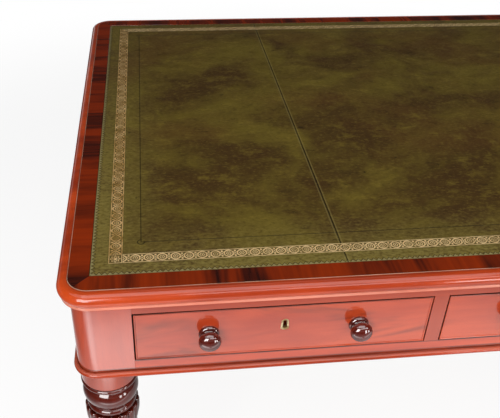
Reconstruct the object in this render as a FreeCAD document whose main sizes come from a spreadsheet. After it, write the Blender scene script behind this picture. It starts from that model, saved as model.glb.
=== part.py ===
import FreeCAD, Part
import math
import os
import Sketcher
from FreeCAD import Placement, Rotation, Vector

# A partners desk in table form: a leather-lined top with a moulded edge, a frieze with three drawers on each
# long side, and four turned legs on brass castors.
# The origin is on the floor under the middle of the desk. X runs along it, Y from front to back, Z up.

SIZES = (
    # the whole desk
    ("overall_width", 1790.0),
    ("overall_depth", 1220.0),
    ("overall_height", 770.0),
    ("corner_radius", 36.0),
    # the top
    ("top_thickness", 31.0),
    ("edge_reach", 17.5),
    ("edge_bead_radius", 14.0),
    ("edge_fillet_reach", 12.5),
    ("band_width", 35.0),
    ("band_thickness", 3.0),
    ("leather_thickness", 2.5),
    ("leather_side_panel", 420.0),
    # the frieze
    ("frieze_height", 163.0),
    ("leg_head", 98.5),
    ("top_rail_height", 23.3),
    ("bottom_rail_height", 34.7),
    ("rail_depth", 50.0),
    ("end_rail_thickness", 24.0),
    ("divider_width", 25.2),
    ("divider_depth", 50.0),
    ("tenon_length", 22.0),
    ("tenon_thickness", 12.0),
    ("tenon_inset", 12.0),
    ("tenon_shoulder", 6.0),
    ("joint_clearance", 0.2),
    ("spine_thickness", 22.0),
    ("spine_drop", 10.0),
    # the moulding round the foot of the frieze
    ("astragal_reach", 7.0),
    ("astragal_radius", 5.0),
    ("astragal_fillet_reach", 1.0),
    ("astragal_fillet_height", 1.0),
    # what the drawers run on
    ("runner_thickness", 18.0),
    ("runner_lip", 24.0),
    ("guide_height", 12.0),
    ("guide_clearance", 0.6),
    ("stop_thickness", 20.0),
    ("stop_height", 15.0),
    # a drawer
    ("side_gap", 2.2),
    ("top_gap", 2.0),
    ("bottom_gap", 1.0),
    ("face_recess", 0.5),
    ("face_thickness", 22.0),
    ("bead_width", 3.0),
    ("bead_proud", 1.5),
    ("side_thickness", 10.0),
    ("side_drop", 5.0),
    ("back_thickness", 10.0),
    ("back_drop", 4.0),
    ("bottom_thickness", 6.0),
    ("bottom_raise", 9.0),
    ("groove_depth", 5.0),
    # its knobs
    ("knob_spacing", 254.0),
    ("knob_drop", 54.0),
    ("knob_radius", 19.0),
    ("knob_back_radius", 5.5),
    ("knob_side_radius", 10.5),
    ("knob_flange_radius", 17.5),
    ("knob_flange_thickness", 5.0),
    ("knob_cove", 3.5),
    ("knob_ring_radius", 12.5),
    ("knob_ring_thickness", 3.5),
    ("knob_neck_radius", 9.5),
    ("knob_neck_gap", 1.0),
    ("knob_dowel_radius", 6.0),
    ("dowel_clearance", 0.05),
    # its lock
    ("keyhole_drop", 44.0),
    ("lock_width", 62.0),
    ("lock_height", 38.0),
    ("lock_depth", 12.0),
    ("lock_wall", 2.5),
    ("bolt_width", 26.0),
    ("bolt_thickness", 5.0),
    ("bolt_height", 22.0),
    ("bolt_travel", 7.0),
    ("bolt_clearance", 0.3),
    ("escutcheon_width", 12.0),
    ("escutcheon_foot_width", 14.0),
    ("escutcheon_height", 25.0),
    ("escutcheon_rim", 3.0),
    ("escutcheon_thickness", 6.0),
    # the turning of a leg, from the frieze down
    ("collar_height", 37.6),
    ("collar_groove", 2.4),
    ("neck_radius", 44.5),
    ("ring_radius", 50.5),
    ("ring_height", 9.0),
    ("ring_groove", 3.0),
    ("knop_radius", 49.8),
    ("knop_height", 45.0),
    ("knop_end_radius", 40.0),
    ("waist_height", 2.0),
    ("waist_radius", 36.0),
    ("band_ring_radius", 44.6),
    ("band_ring_height", 16.0),
    ("cup_radius", 49.4),
    ("cup_rim_radius", 48.6),
    ("cup_height", 60.0),
    ("cup_foot_radius", 40.0),
    ("cup_lobe_depth", 3.6),
    ("upper_ring_radius", 43.0),
    ("ring_step", 1.0),
    ("upper_ring_height", 12.0),
    ("shaft_top_radius", 38.0),
    ("shaft_foot_radius", 27.0),
    ("reed_depth", 2.4),
    ("lower_ring_radius", 32.0),
    ("lower_ring_height", 11.0),
    ("ankle_radius", 22.0),
    ("ankle_height", 10.0),
    ("foot_radius", 30.0),
    ("foot_height", 34.0),
    ("spigot_height", 9.0),
    # a castor
    ("wheel_radius", 19.0),
    ("wheel_width", 15.0),
    ("wheel_crown", 1.5),
    ("axle_radius", 3.0),
    ("axle_head", 1.5),
    ("running_clearance", 0.05),
    ("trail", 16.0),
    ("plate_gap", 3.0),
    ("plate_thickness", 5.0),
    ("plate_radius", 15.0),
    ("ear_thickness", 3.5),
    ("ear_gap", 0.8),
    ("boss_radius", 6.5),
    ("bearing_gap", 0.3),
    ("pivot_radius", 5.0),
    ("rivet_radius", 7.0),
    ("rivet_height", 2.0),
    ("socket_floor", 4.0),
    ("socket_wall", 2.0),
    ("socket_height", 42.0),
    ("socket_top_radius", 25.0),
    ("socket_foot_radius", 21.0),
    ("socket_lip", 1.5),
    ("socket_clearance", 0.1),
    # the screws that hold the top
    ("screw_radius", 2.5),
    ("screw_head_radius", 5.0),
    ("screw_head_height", 3.0),
    ("screw_bite", 20.0),
    ("screw_sink", 0.5),
    ("screw_offset", 150.0),
)

DRAWERS_ON_A_SIDE = 3
REEDS = 16
LOBES = 18

doc = FreeCAD.newDocument("partners_desk")
sheet = doc.addObject("Spreadsheet::Sheet", "sizes")


class Size:
    """A length in mm, with the expression that ties it to the sheet."""

    def __init__(self, value, text):
        self.value = value
        self.text = text

    def __add__(self, other):
        other = as_size(other)
        return Size(self.value + other.value, "(%s + %s)" % (self.text, other.text))

    def __sub__(self, other):
        other = as_size(other)
        return Size(self.value - other.value, "(%s - %s)" % (self.text, other.text))

    def __mul__(self, other):
        other = as_size(other)
        return Size(self.value * other.value, "(%s * %s)" % (self.text, other.text))

    def __truediv__(self, other):
        other = as_size(other)
        return Size(self.value / other.value, "(%s / %s)" % (self.text, other.text))

    def __neg__(self):
        return Size(-self.value, "(0 - %s)" % self.text)

    def __rmul__(self, other):
        return as_size(other) * self


def as_size(number):
    if isinstance(number, Size):
        return number
    return Size(float(number), "(%.9f)" % number)


def fill_sheet():
    """Write each driving size into the sheet, and give it back by name."""
    named = {}
    for row, (name, value) in enumerate(SIZES, start=1):
        sheet.set("A%d" % row, name)
        sheet.set("B%d" % row, str(value))
        sheet.setAlias("B%d" % row, name)
        named[name] = Size(value, "sizes.%s" % name)
    doc.recompute()
    return named


class Named:
    """The driving sizes, as attributes."""

    def __init__(self, named):
        self.__dict__.update(named)


d = Named(fill_sheet())
ZERO = as_size(0.0)

# Planes and distances that several pieces share
half_length = d.overall_width / 2 - d.edge_reach
half_depth = d.overall_depth / 2 - d.edge_reach
top_underside = d.overall_height - d.top_thickness
frieze_bottom = top_underside - d.frieze_height
opening_top = top_underside - d.top_rail_height
opening_bottom = frieze_bottom + d.bottom_rail_height
opening_width = (2 * half_length - 2 * d.leg_head
                 - d.divider_width * (DRAWERS_ON_A_SIDE - 1)) / DRAWERS_ON_A_SIDE
leather_half_length = half_length - d.band_width
leather_half_depth = half_depth - d.band_width
leg_axis_x = half_length - d.leg_head / 2
leg_axis_y = half_depth - d.leg_head / 2
spine_face = d.spine_thickness / 2


# Drawing helpers

def bind(thing, prop, size):
    thing.setExpression(prop, as_size(size).text)


def bind_place(thing, x, y, z, prop="Placement"):
    for axis, size in zip("xyz", (x, y, z)):
        bind(thing, "%s.Base.%s" % (prop, axis), size)


def fix_coordinate(sketch, kind, geometry, point, size):
    """Hold one coordinate of a sketch point at its distance from the origin."""
    if abs(size.value) < 1e-9:
        axis = -2 if kind == "DistanceX" else -1
        sketch.addConstraint(Sketcher.Constraint("PointOnObject", geometry, point, axis))
        return
    if size.value > 0:
        constraint = Sketcher.Constraint(kind, -1, 1, geometry, point, size.value)
    else:
        size = -size
        constraint = Sketcher.Constraint(kind, geometry, point, -1, 1, size.value)
    index = sketch.addConstraint(constraint)
    bind(sketch, "Constraints[%d]" % index, size)


def arc_centre(start, end, axis, at):
    """The centre that is as far from both ends, with one coordinate given."""
    (x0, y0), (x1, y1) = start, end
    squares = (x1 ** 2 - x0 ** 2) + (y1 ** 2 - y0 ** 2)
    if axis == "X":
        return at, (squares - 2 * at * (x1 - x0)) / (2 * (y1 - y0))
    return (squares - 2 * at * (y1 - y0)) / (2 * (x1 - x0)), at


def arc_between(start, end, centre, turn):
    """An arc, which runs anticlockwise when turn is 1."""
    first, last = (start, end) if turn > 0 else (end, start)
    angles = [math.atan2(y - centre[1], x - centre[0]) for x, y in (first, last)]
    if angles[1] < angles[0]:
        angles[1] += 2 * math.pi
    radius = math.hypot(first[0] - centre[0], first[1] - centre[1])
    circle = Part.Circle(Vector(centre[0], centre[1], 0), Vector(0, 0, 1), radius)
    return Part.ArcOfCircle(circle, angles[0], angles[1])


def draw_outline(sketch, rows):
    """Draw a closed outline. A row is a corner (x, y), or (x, y, axis, at, turn) where an arc comes to it,
    whose centre has the coordinate given."""
    corners = [(as_size(row[0]), as_size(row[1])) for row in rows]
    ends = []
    for index, row in enumerate(rows):
        start = corners[index - 1]
        end = corners[index]
        start_point = (start[0].value, start[1].value)
        end_point = (end[0].value, end[1].value)
        if len(row) == 2:
            line = Part.LineSegment(Vector(*start_point, 0), Vector(*end_point, 0))
            ends.append((sketch.addGeometry(line, False), 1, 2))
            continue
        axis, at, turn = row[2], as_size(row[3]), row[4]
        centre = arc_centre(start_point, end_point, axis, at.value)
        geometry = sketch.addGeometry(arc_between(start_point, end_point, centre, turn), False)
        ends.append((geometry, 1, 2) if turn > 0 else (geometry, 2, 1))
        fix_coordinate(sketch, "Distance" + axis, geometry, 3, at)
    for index, (geometry, first, last) in enumerate(ends):
        following, following_first, _ = ends[(index + 1) % len(ends)]
        sketch.addConstraint(Sketcher.Constraint("Coincident", geometry, last, following, following_first))
        fix_coordinate(sketch, "DistanceX", geometry, last, corners[index][0])
        fix_coordinate(sketch, "DistanceY", geometry, last, corners[index][1])


def new_sketch(body, name, role, rows, height=None):
    """A sketch on one of the body's own origin planes, raised by height if that is given."""
    sketch = body.newObject("Sketcher::SketchObject", name)
    plane = [part for part in body.Origin.OriginFeatures if part.Role == role][0]
    sketch.AttachmentSupport = (plane, [""])
    sketch.MapMode = "FlatFace"
    if height is not None:
        bind(sketch, "AttachmentOffset.Base.z", height)
    draw_outline(sketch, rows)
    return sketch


def padded(name, rows, length, role="XY_Plane", midplane=False, height=None):
    """A body with one outline padded to a length."""
    body = doc.addObject("PartDesign::Body", name)
    pad = body.newObject("PartDesign::Pad", name + "_pad")
    pad.Profile = new_sketch(body, name + "_outline", role, rows, height)
    pad.Midplane = midplane
    bind(pad, "Length", length)
    return body


def turned(name, rows, angle=360):
    """A body turned about its Z axis from half of its section, in X and Z."""
    body = doc.addObject("PartDesign::Body", name)
    add_turning(body, name, rows, angle)
    return body


def add_turning(body, name, rows, angle=360):
    sketch = new_sketch(body, name + "_section", "XZ_Plane", rows)
    revolution = body.newObject("PartDesign::Revolution", name + "_turning")
    revolution.Profile = sketch
    revolution.ReferenceAxis = (sketch, ["V_Axis"])
    revolution.Angle = angle


def board(name, low, high):
    """A square-edged board between two opposite corners."""
    box = doc.addObject("Part::Box", name)
    low = [as_size(size) for size in low]
    for prop, start, end in zip(("Length", "Width", "Height"), low, high):
        bind(box, prop, end - start)
    bind_place(box, *low)
    return box


def rod(name, radius, length, x, y, z, rotation=None):
    """A plain cylinder from a point, upright unless it is turned."""
    cylinder = doc.addObject("Part::Cylinder", name)
    bind(cylinder, "Radius", radius)
    bind(cylinder, "Height", length)
    if rotation is not None:
        cylinder.Placement = Placement(Vector(), rotation)
    bind_place(cylinder, x, y, z)
    return cylinder


def cut(name, base, tools):
    """The base with each tool taken out of it."""
    result = doc.addObject("Part::Cut", name)
    result.Base = base
    result.Tool = tools[0] if len(tools) == 1 else group(name + "_tools", tools)
    return result


def group(name, pieces):
    gathered = doc.addObject("Part::Compound", name)
    gathered.Links = pieces
    return gathered


def placed(name, piece, x=0, y=0, z=0, rotation=None):
    """A copy of a piece at another place."""
    copy = group(name, [piece])
    if rotation is not None:
        copy.Placement = Placement(Vector(), rotation)
    bind_place(copy, x, y, z)
    return copy


sub_parts = []


def sub_part(label, pieces):
    """Name the pieces as one sub-part, which is one exported file."""
    whole = pieces[0] if len(pieces) == 1 else group(label, pieces)
    whole.Label = label
    sub_parts.append(whole)
    return whole


UP = Vector(0, 0, 1)
HALF_TURN = Rotation(UP, 180)
# from upright to pointing out of the front, along -Y
OUT_OF_FRONT = Rotation(Vector(1, 0, 0), 90)


def facing_pair(name, piece):
    """A piece of the front half, and the same piece of the back half, turned round the desk's middle."""
    return [piece, placed(name + "_opposite", piece, rotation=HALF_TURN)]


def rounded_rectangle(half_x, half_y, radius):
    """Outline about the origin, anticlockwise from the end of the front edge."""
    in_x = half_x - radius
    in_y = half_y - radius
    return [
        (in_x, -half_y),
        (half_x, -in_y, "X", in_x, 1),
        (half_x, in_y),
        (in_x, half_y, "X", in_x, 1),
        (-in_x, half_y),
        (-half_x, in_y, "X", -in_x, 1),
        (-half_x, -in_y),
        (-in_x, -half_y, "X", -in_x, 1),
    ]


def ring_moulding(label, section):
    """A moulding round the rounded oblong of the frieze: four straight lengths and four turned corners.
    section(offset) gives its section that far out from the desk's face."""
    in_x = half_length - d.corner_radius
    in_y = half_depth - d.corner_radius
    long_length = padded(label + "_long", section(ZERO), 2 * in_x, "XZ_Plane", midplane=True)
    short_length = padded(label + "_short", section(ZERO), 2 * in_y, "XZ_Plane", midplane=True)
    corner = turned(label + "_corner", section(d.corner_radius), 90)
    pieces = []
    lengths = ((short_length, half_length, 0, 0), (long_length, 0, half_depth, 90),
               (short_length, -half_length, 0, 180), (long_length, 0, -half_depth, 270))
    for index, (length, x, y, turn) in enumerate(lengths):
        pieces.append(placed("%s_length_%d" % (label, index), length, x, y, 0, Rotation(UP, turn)))
    corners = ((in_x, in_y), (-in_x, in_y), (-in_x, -in_y), (in_x, -in_y))
    for index, (x, y) in enumerate(corners):
        turn = Rotation(UP, 90 * index)
        pieces.append(placed("%s_corner_%d" % (label, index), corner, x, y, 0, turn))
    return sub_part(label, pieces)


# The top

def screw_places():
    """Where the screws stand in the front half: two over each drawer, behind its front."""
    y = -half_depth + d.rail_depth - 2 * d.screw_head_radius
    return [(opening_centre(index) + side * d.screw_offset, y)
            for index in range(DRAWERS_ON_A_SIDE) for side in (-1, 1)]


def opening_centre(index):
    first = -half_length + d.leg_head + opening_width / 2
    return first + (opening_width + d.divider_width) * index


def make_top_board():
    outline = rounded_rectangle(half_length, half_depth, d.corner_radius)
    blank = padded("top_blank", outline, d.top_thickness - d.band_thickness, height=top_underside)
    pilots = [rod("pilot_%d" % index, d.screw_radius, d.screw_bite, x, y, top_underside)
              for index, (x, y) in enumerate(screw_places())]
    front = group("pilots", pilots)
    sub_part("top_board", [cut("top_board", blank, facing_pair("pilots", front))])


def edge_section(offset):
    """A half-round nose with a flat above it and a small fillet under it."""
    flat = offset + d.edge_reach - d.edge_bead_radius
    nose_bottom = d.overall_height - 2 * d.edge_bead_radius
    return [
        (offset, top_underside),
        (offset + d.edge_fillet_reach, top_underside),
        (offset + d.edge_fillet_reach, nose_bottom),
        (flat, nose_bottom),
        (flat, d.overall_height, "X", flat, 1),
        (offset, d.overall_height),
    ]


def make_crossbanding():
    """Four strips with mitred ends, round the leather."""
    band_bottom = d.overall_height - d.band_thickness
    for_corner = d.corner_radius * (1 - math.sqrt(0.5))
    strips = []
    for name, along, across in (("long", half_length, half_depth), ("short", half_depth, half_length)):
        straight = along - d.corner_radius
        inner_x = along - d.band_width
        inner_y = -across + d.band_width
        outline = [
            (straight, -across),
            (along - for_corner, -across + for_corner, "X", straight, 1),
            (inner_x, inner_y),
            (-inner_x, inner_y),
            (-along + for_corner, -across + for_corner),
            (-straight, -across, "X", -straight, 1),
        ]
        strip = padded("band_" + name, outline, d.band_thickness, height=band_bottom)
        first_turn = 0 if name == "long" else 90
        for turn in (first_turn, first_turn + 180):
            strips.append(placed("band_%s_%d" % (name, turn), strip, rotation=Rotation(UP, turn)))
    sub_part("crossbanding", strips)


def make_leather():
    """Three panels, with the seams running from front to back."""
    low = d.overall_height - d.band_thickness
    high = low + d.leather_thickness
    seam = leather_half_length - d.leather_side_panel
    spans = (("left", -leather_half_length, -seam), ("centre", -seam, seam),
             ("right", seam, leather_half_length))
    for name, start, end in spans:
        panel = board("leather_" + name, (start, -leather_half_depth, low), (end, leather_half_depth, high))
        sub_part("leather_" + name, [panel])


# The frieze

def tenon_height_range(low, high):
    return low + d.tenon_shoulder, high - d.tenon_shoulder


RAIL_LEVELS = (("top", opening_top, top_underside), ("bottom", frieze_bottom, opening_bottom))


def make_long_rails():
    """The rails over and under the drawers, tenoned into the legs."""
    shoulder = half_length - d.leg_head
    tip = shoulder + d.tenon_length
    front = -half_depth
    bolt_y = front + bolt_centre()
    for name, low, high in RAIL_LEVELS:
        tenon_low, tenon_high = tenon_height_range(low, high)
        rail = board(name + "_rail_board", (-shoulder, front, low), (shoulder, front + d.rail_depth, high))
        tenons = board(name + "_rail_tenons", (-tip, front + d.tenon_inset, tenon_low),
                       (tip, front + d.tenon_inset + d.tenon_thickness, tenon_high))
        joined = doc.addObject("Part::Fuse", name + "_rail_joined")
        joined.Base = rail
        joined.Tool = tenons
        if name == "top":
            joined = cut("top_rail_cut", joined, bolt_mortises(bolt_y) + screw_holes())
        sub_part(name + "_rails", facing_pair(name + "_rail", joined))


def bolt_mortises(y):
    """The holes over the drawers that the lock bolts rise into."""
    spare = d.bolt_clearance * 3
    reach_x = d.bolt_width / 2 + spare
    reach_y = d.bolt_thickness / 2 + spare
    depth = d.bolt_travel - d.top_gap + spare
    holes = []
    for index in range(DRAWERS_ON_A_SIDE):
        x = opening_centre(index)
        holes.append(board("bolt_mortise_%d" % index, (x - reach_x, y - reach_y, opening_top),
                           (x + reach_x, y + reach_y, opening_top + depth)))
    return holes


def screw_holes():
    """Clearance holes for the screws, with room for their heads."""
    holes = []
    room = d.screw_radius + d.joint_clearance
    head = d.screw_head_radius + d.joint_clearance
    sink = d.screw_sink + d.screw_head_height
    for index, (x, y) in enumerate(screw_places()):
        holes.append(rod("screw_hole_%d" % index, room, d.top_rail_height, x, y, opening_top))
        holes.append(rod("screw_sink_%d" % index, head, sink, x, y, opening_top))
    return holes


def make_screws():
    """Countersunk screws, up through the top rails into the top."""
    head_top = d.screw_head_height
    tip = d.top_rail_height - d.screw_sink + d.screw_bite
    screw = turned("screw", [
        (d.screw_head_radius, ZERO),
        (d.screw_radius, head_top),
        (d.screw_radius, tip - d.screw_radius),
        (ZERO, tip),
        (ZERO, ZERO),
    ])
    row = [placed("screw_%d" % index, screw, x, y, opening_top + d.screw_sink)
           for index, (x, y) in enumerate(screw_places())]
    sub_part("top_screws", facing_pair("screws", group("screw_row", row)))


def make_end_rails():
    """The ends of the frieze, tenoned into the legs."""
    shoulder = half_depth - d.leg_head
    tip = shoulder + d.tenon_length
    face = -half_length
    tenon_low, tenon_high = tenon_height_range(frieze_bottom, top_underside)
    rail = board("end_rail_board", (face, -shoulder, frieze_bottom),
                 (face + d.end_rail_thickness, shoulder, top_underside))
    tenons = board("end_rail_tenons", (face + d.tenon_inset, -tip, tenon_low),
                   (face + d.tenon_inset + d.tenon_thickness, tip, tenon_high))
    joined = doc.addObject("Part::Fuse", "end_rail_joined")
    joined.Base = rail
    joined.Tool = tenons
    sub_part("end_rails", facing_pair("end_rail", joined))


def divider_centre(index):
    return opening_centre(index) + opening_width / 2 + d.divider_width / 2


def make_dividers():
    """The uprights between the drawers."""
    dividers = []
    for index in range(DRAWERS_ON_A_SIDE - 1):
        x = divider_centre(index)
        dividers.append(board("divider_%d" % index,
                              (x - d.divider_width / 2, -half_depth, opening_bottom),
                              (x + d.divider_width / 2, -half_depth + d.divider_depth, opening_top)))
    sub_part("drawer_dividers", facing_pair("dividers", group("divider_row", dividers)))


def astragal_section(offset):
    """A half-round bead, and a small fillet where it meets the frieze's face."""
    bead_centre = offset + d.astragal_reach - d.astragal_radius
    bead_top = frieze_bottom + 2 * d.astragal_radius
    fillet_top = bead_top + d.astragal_fillet_height
    return [
        (offset, frieze_bottom),
        (bead_centre, frieze_bottom),
        (bead_centre, bead_top, "X", bead_centre, 1),
        (offset + d.astragal_fillet_reach, bead_top),
        (offset + d.astragal_fillet_reach, fillet_top),
        (offset, fillet_top),
    ]


def make_spine():
    """The rail along the middle, which carries the backs of the runners."""
    reach = half_length - d.end_rail_thickness
    spine = board("centre_spine", (-reach, -spine_face, frieze_bottom + d.spine_drop),
                  (reach, spine_face, top_underside))
    sub_part("centre_spine", [spine])


def make_drawer_runners():
    """For the drawers of each side: runners under their sides, guides beside them, kickers over them and
    stops behind them."""
    back = -spine_face
    edge = half_length - d.leg_head
    wall = half_length - d.end_rail_thickness
    levels = (
        ("runner", opening_bottom - d.runner_thickness, opening_bottom, d.runner_lip),
        ("guide", opening_bottom, opening_bottom + d.guide_height, d.side_gap - d.guide_clearance),
        ("kicker", opening_top, top_underside, d.runner_lip),
    )
    pieces = []
    for name, low, high, lip in levels:
        start = -half_depth + d.rail_depth
        for index in range(DRAWERS_ON_A_SIDE - 1):
            x = divider_centre(index)
            reach = d.divider_width / 2 + lip
            pieces.append(board("%s_%d" % (name, index), (x - reach, start, low), (x + reach, back, high)))
        behind_leg = -half_depth + d.leg_head
        pieces.append(board(name + "_left", (-wall, behind_leg, low), (-edge + lip, back, high)))
        pieces.append(board(name + "_right", (edge - lip, behind_leg, low), (wall, back, high)))
    stop_high = opening_bottom + d.stop_height
    for index in range(DRAWERS_ON_A_SIDE):
        for side in (-1, 1):
            outer = opening_centre(index) + side * (opening_width / 2 - d.side_gap)
            inner = outer - side * (d.runner_lip - d.side_gap)
            low_x, high_x = sorted((outer, inner), key=lambda size: size.value)
            pieces.append(board("stop_%d_%d" % (index, side), (low_x, back - d.stop_thickness, opening_bottom),
                                (high_x, back, stop_high)))
    sub_part("drawer_runners", facing_pair("runners", group("runner_row", pieces)))


# The legs

def bead_centre(neck, crest, height):
    """The centre of the arc of a bead, as a radius: it stands from neck to crest over its height."""
    rise = crest - neck
    radius = (height * height / 4 + rise * rise) / (2 * rise)
    return crest - radius


def turned_steps(level, steps):
    """Rows of a turned section, from a level down. A step is (crest, height, neck): a bead that stands from
    its neck to its crest, or plain work where they are the same."""
    rows = []
    previous = None
    for crest, height, neck in steps:
        if neck is not previous:
            rows.append((neck, level))
        level = level - height
        if crest is neck:
            rows.append((neck, level))
        else:
            rows.append((neck, level, "X", bead_centre(neck, crest, height), -1))
        previous = neck
    return rows, level


def scallops(crest, valley, count):
    """A round outline of equal lobes."""
    step = 2 * math.pi / count
    half_chord = valley * math.sin(step / 2)
    rise = crest - valley * math.cos(step / 2)
    radius = (half_chord * half_chord + rise * rise) / (2 * rise)
    centre = crest - radius
    rows = []
    for index in range(count):
        angle = step * (index + 0.5)
        middle = step * index
        axis = "X" if abs(math.cos(middle)) > abs(math.sin(middle)) else "Y"
        at = centre * (math.cos(middle) if axis == "X" else math.sin(middle))
        rows.append((valley * math.cos(angle), valley * math.sin(angle), axis, at, 1))
    return rows


def add_loft(body, name, role, sections, ruled):
    """A loft through outlines at several heights, the first of which is its profile."""
    sketches = [new_sketch(body, "%s_%d" % (name, index), role, rows, height)
                for index, (height, rows) in enumerate(sections)]
    loft = body.newObject("PartDesign::AdditiveLoft", name)
    loft.Profile = sketches[0]
    loft.Sections = sketches[1:]
    loft.Ruled = ruled


def socket_floor_level():
    plate_top = 2 * d.wheel_radius + d.plate_gap + d.plate_thickness
    return plate_top + d.bearing_gap


def make_leg():
    """The front left leg about its own axis: a square head and a turned and reeded shaft."""
    half_head = d.leg_head / 2
    round_end = -half_head + d.corner_radius
    leg = padded("leg", [
        (half_head, -half_head),
        (half_head, half_head),
        (-half_head, half_head),
        (-half_head, round_end),
        (round_end, -half_head, "X", round_end, 1),
    ], d.frieze_height, height=frieze_bottom)

    upper, level = turned_steps(frieze_bottom, (
        (half_head, d.collar_height, half_head),
        (d.neck_radius, d.collar_groove, d.neck_radius),
        (d.ring_radius, d.ring_height, d.ring_radius - d.ring_height / 2),
        (d.neck_radius, d.ring_groove, d.neck_radius),
        (d.knop_radius, d.knop_height, d.knop_end_radius),
        (d.waist_radius, d.waist_height, d.waist_radius),
        (d.band_ring_radius, d.band_ring_height, d.waist_radius),
        (d.waist_radius, d.cup_height, d.waist_radius),
        (d.upper_ring_radius, d.upper_ring_height, d.shaft_top_radius + d.ring_step),
    ))
    cup_bottom = level + d.upper_ring_height
    cup_top = cup_bottom + d.cup_height
    shaft_top = level

    foot_end = socket_floor_level() + d.socket_floor
    socket_top = socket_floor_level() + d.socket_height
    inside = d.socket_wall + d.socket_clearance
    shaft_foot = (socket_top + d.spigot_height + d.foot_height + d.ankle_height + d.lower_ring_height)
    lower, _ = turned_steps(shaft_foot, (
        (d.lower_ring_radius, d.lower_ring_height, d.shaft_foot_radius + d.ring_step),
        (d.ankle_radius, d.ankle_height, d.ankle_radius),
        (d.foot_radius, d.foot_height, d.ankle_radius),
    ))
    core = d.reed_depth * 2
    section = upper + [(d.shaft_top_radius - core, shaft_top), (d.shaft_foot_radius - core, shaft_foot)]
    section += lower + [
        (d.ankle_radius, socket_top),
        (d.socket_top_radius - inside, socket_top),
        (d.socket_foot_radius - inside, foot_end),
        (ZERO, foot_end),
        (ZERO, frieze_bottom),
    ]
    add_turning(leg, "leg", section)

    swell = cup_top - d.cup_height / 4
    belly = cup_top - d.cup_height / 2
    add_loft(leg, "leg_cup", "XY_Plane", (
        (cup_bottom, scallops(d.cup_foot_radius, d.cup_foot_radius - d.cup_lobe_depth / 2, LOBES)),
        (belly, scallops(d.cup_radius - d.cup_lobe_depth / 2, d.cup_radius - 2 * d.cup_lobe_depth, LOBES)),
        (swell, scallops(d.cup_radius, d.cup_radius - d.cup_lobe_depth, LOBES)),
        (cup_top, scallops(d.cup_rim_radius, d.cup_rim_radius - d.cup_lobe_depth, LOBES)),
    ), False)
    add_loft(leg, "leg_reeds", "XY_Plane", (
        (shaft_foot, scallops(d.shaft_foot_radius, d.shaft_foot_radius - d.reed_depth, REEDS)),
        (shaft_top, scallops(d.shaft_top_radius, d.shaft_top_radius - d.reed_depth, REEDS)),
    ), True)
    add_mortises(leg)
    bind_place(leg, -leg_axis_x, -leg_axis_y, 0)
    return leg


def add_mortises(leg):
    """Holes in the head for the tenons of the long rails and of the end rail."""
    inner = d.leg_head / 2
    depth = d.tenon_length + d.joint_clearance
    near = -inner + d.tenon_inset - d.joint_clearance
    thickness = d.tenon_thickness + 2 * d.joint_clearance
    levels = [(name, low, high, "long") for name, low, high in RAIL_LEVELS]
    levels.append(("end", frieze_bottom, top_underside, "short"))
    for name, low, high, direction in levels:
        tenon_low, tenon_high = tenon_height_range(low, high)
        hole = leg.newObject("PartDesign::SubtractiveBox", "leg_mortise_" + name)
        bind(hole, "Height", tenon_high - tenon_low + 2 * d.joint_clearance)
        if direction == "long":
            bind(hole, "Length", depth)
            bind(hole, "Width", thickness)
            bind_place(hole, inner - depth, near, tenon_low - d.joint_clearance)
        else:
            bind(hole, "Length", thickness)
            bind(hole, "Width", depth)
            bind_place(hole, near, inner - depth, tenon_low - d.joint_clearance)


def mirrored(name, source, normal):
    mirror = doc.addObject("Part::Mirroring", name)
    mirror.Source = source
    mirror.Normal = normal
    return mirror


def make_legs():
    front_left = make_leg()
    front_right = mirrored("leg_front_right", front_left, Vector(1, 0, 0))
    back_left = mirrored("leg_back_left", front_left, Vector(0, 1, 0))
    back_right = mirrored("leg_back_right", back_left, Vector(1, 0, 0))
    sub_part("leg_front_left", [front_left])
    sub_part("leg_front_right", [front_right])
    sub_part("leg_back_left", [back_left])
    sub_part("leg_back_right", [back_right])


# The castors

def make_socket():
    """The brass socket on the foot, with the pivot that the fork turns on riveted under its floor."""
    floor = socket_floor_level()
    top = floor + d.socket_height
    plate_bottom = floor - d.bearing_gap - d.plate_thickness
    rivet_top = plate_bottom - d.bearing_gap
    inner_top = d.socket_top_radius - d.socket_wall
    inner_foot = d.socket_foot_radius - d.socket_wall
    return turned("socket", [
        (d.rivet_radius, rivet_top - d.rivet_height),
        (d.rivet_radius, rivet_top),
        (d.pivot_radius, rivet_top),
        (d.pivot_radius, floor),
        (d.socket_foot_radius, floor),
        (d.socket_top_radius, top - d.socket_lip),
        (d.socket_top_radius + d.socket_lip, top - d.socket_lip),
        (d.socket_top_radius + d.socket_lip, top),
        (inner_top, top),
        (inner_foot, floor + d.socket_floor),
        (ZERO, floor + d.socket_floor),
        (ZERO, rivet_top - d.rivet_height),
    ])


def make_fork():
    """The horn: a plate round the pivot and two ears down to the axle."""
    plate_bottom = 2 * d.wheel_radius + d.plate_gap
    plate_top = plate_bottom + d.plate_thickness
    slot = d.wheel_width + 2 * d.ear_gap
    width = slot + 2 * d.ear_thickness
    horn = padded("horn", [
        (-d.plate_radius, plate_bottom),
        (d.trail - d.boss_radius, d.wheel_radius),
        (d.trail + d.boss_radius, d.wheel_radius, "Y", d.wheel_radius, 1),
        (d.plate_radius, plate_top),
        (-d.plate_radius, plate_top),
    ], width, "XZ_Plane", midplane=True)
    reach = d.trail + d.boss_radius + d.plate_radius
    slot_box = board("horn_slot", (-reach, -slot / 2, ZERO), (reach, slot / 2, plate_bottom))
    bore = rod("horn_bore", d.pivot_radius + d.running_clearance, d.plate_thickness, 0, 0, plate_bottom)
    hole = rod("horn_axle_hole", d.axle_radius, width, d.trail, width / 2, d.wheel_radius, OUT_OF_FRONT)
    axle_length = width + 2 * d.axle_head
    axle = rod("axle", d.axle_radius, axle_length, d.trail, axle_length / 2, d.wheel_radius, OUT_OF_FRONT)
    return group("fork", [cut("horn_cut", horn, [slot_box, bore, hole]), axle])


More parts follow.
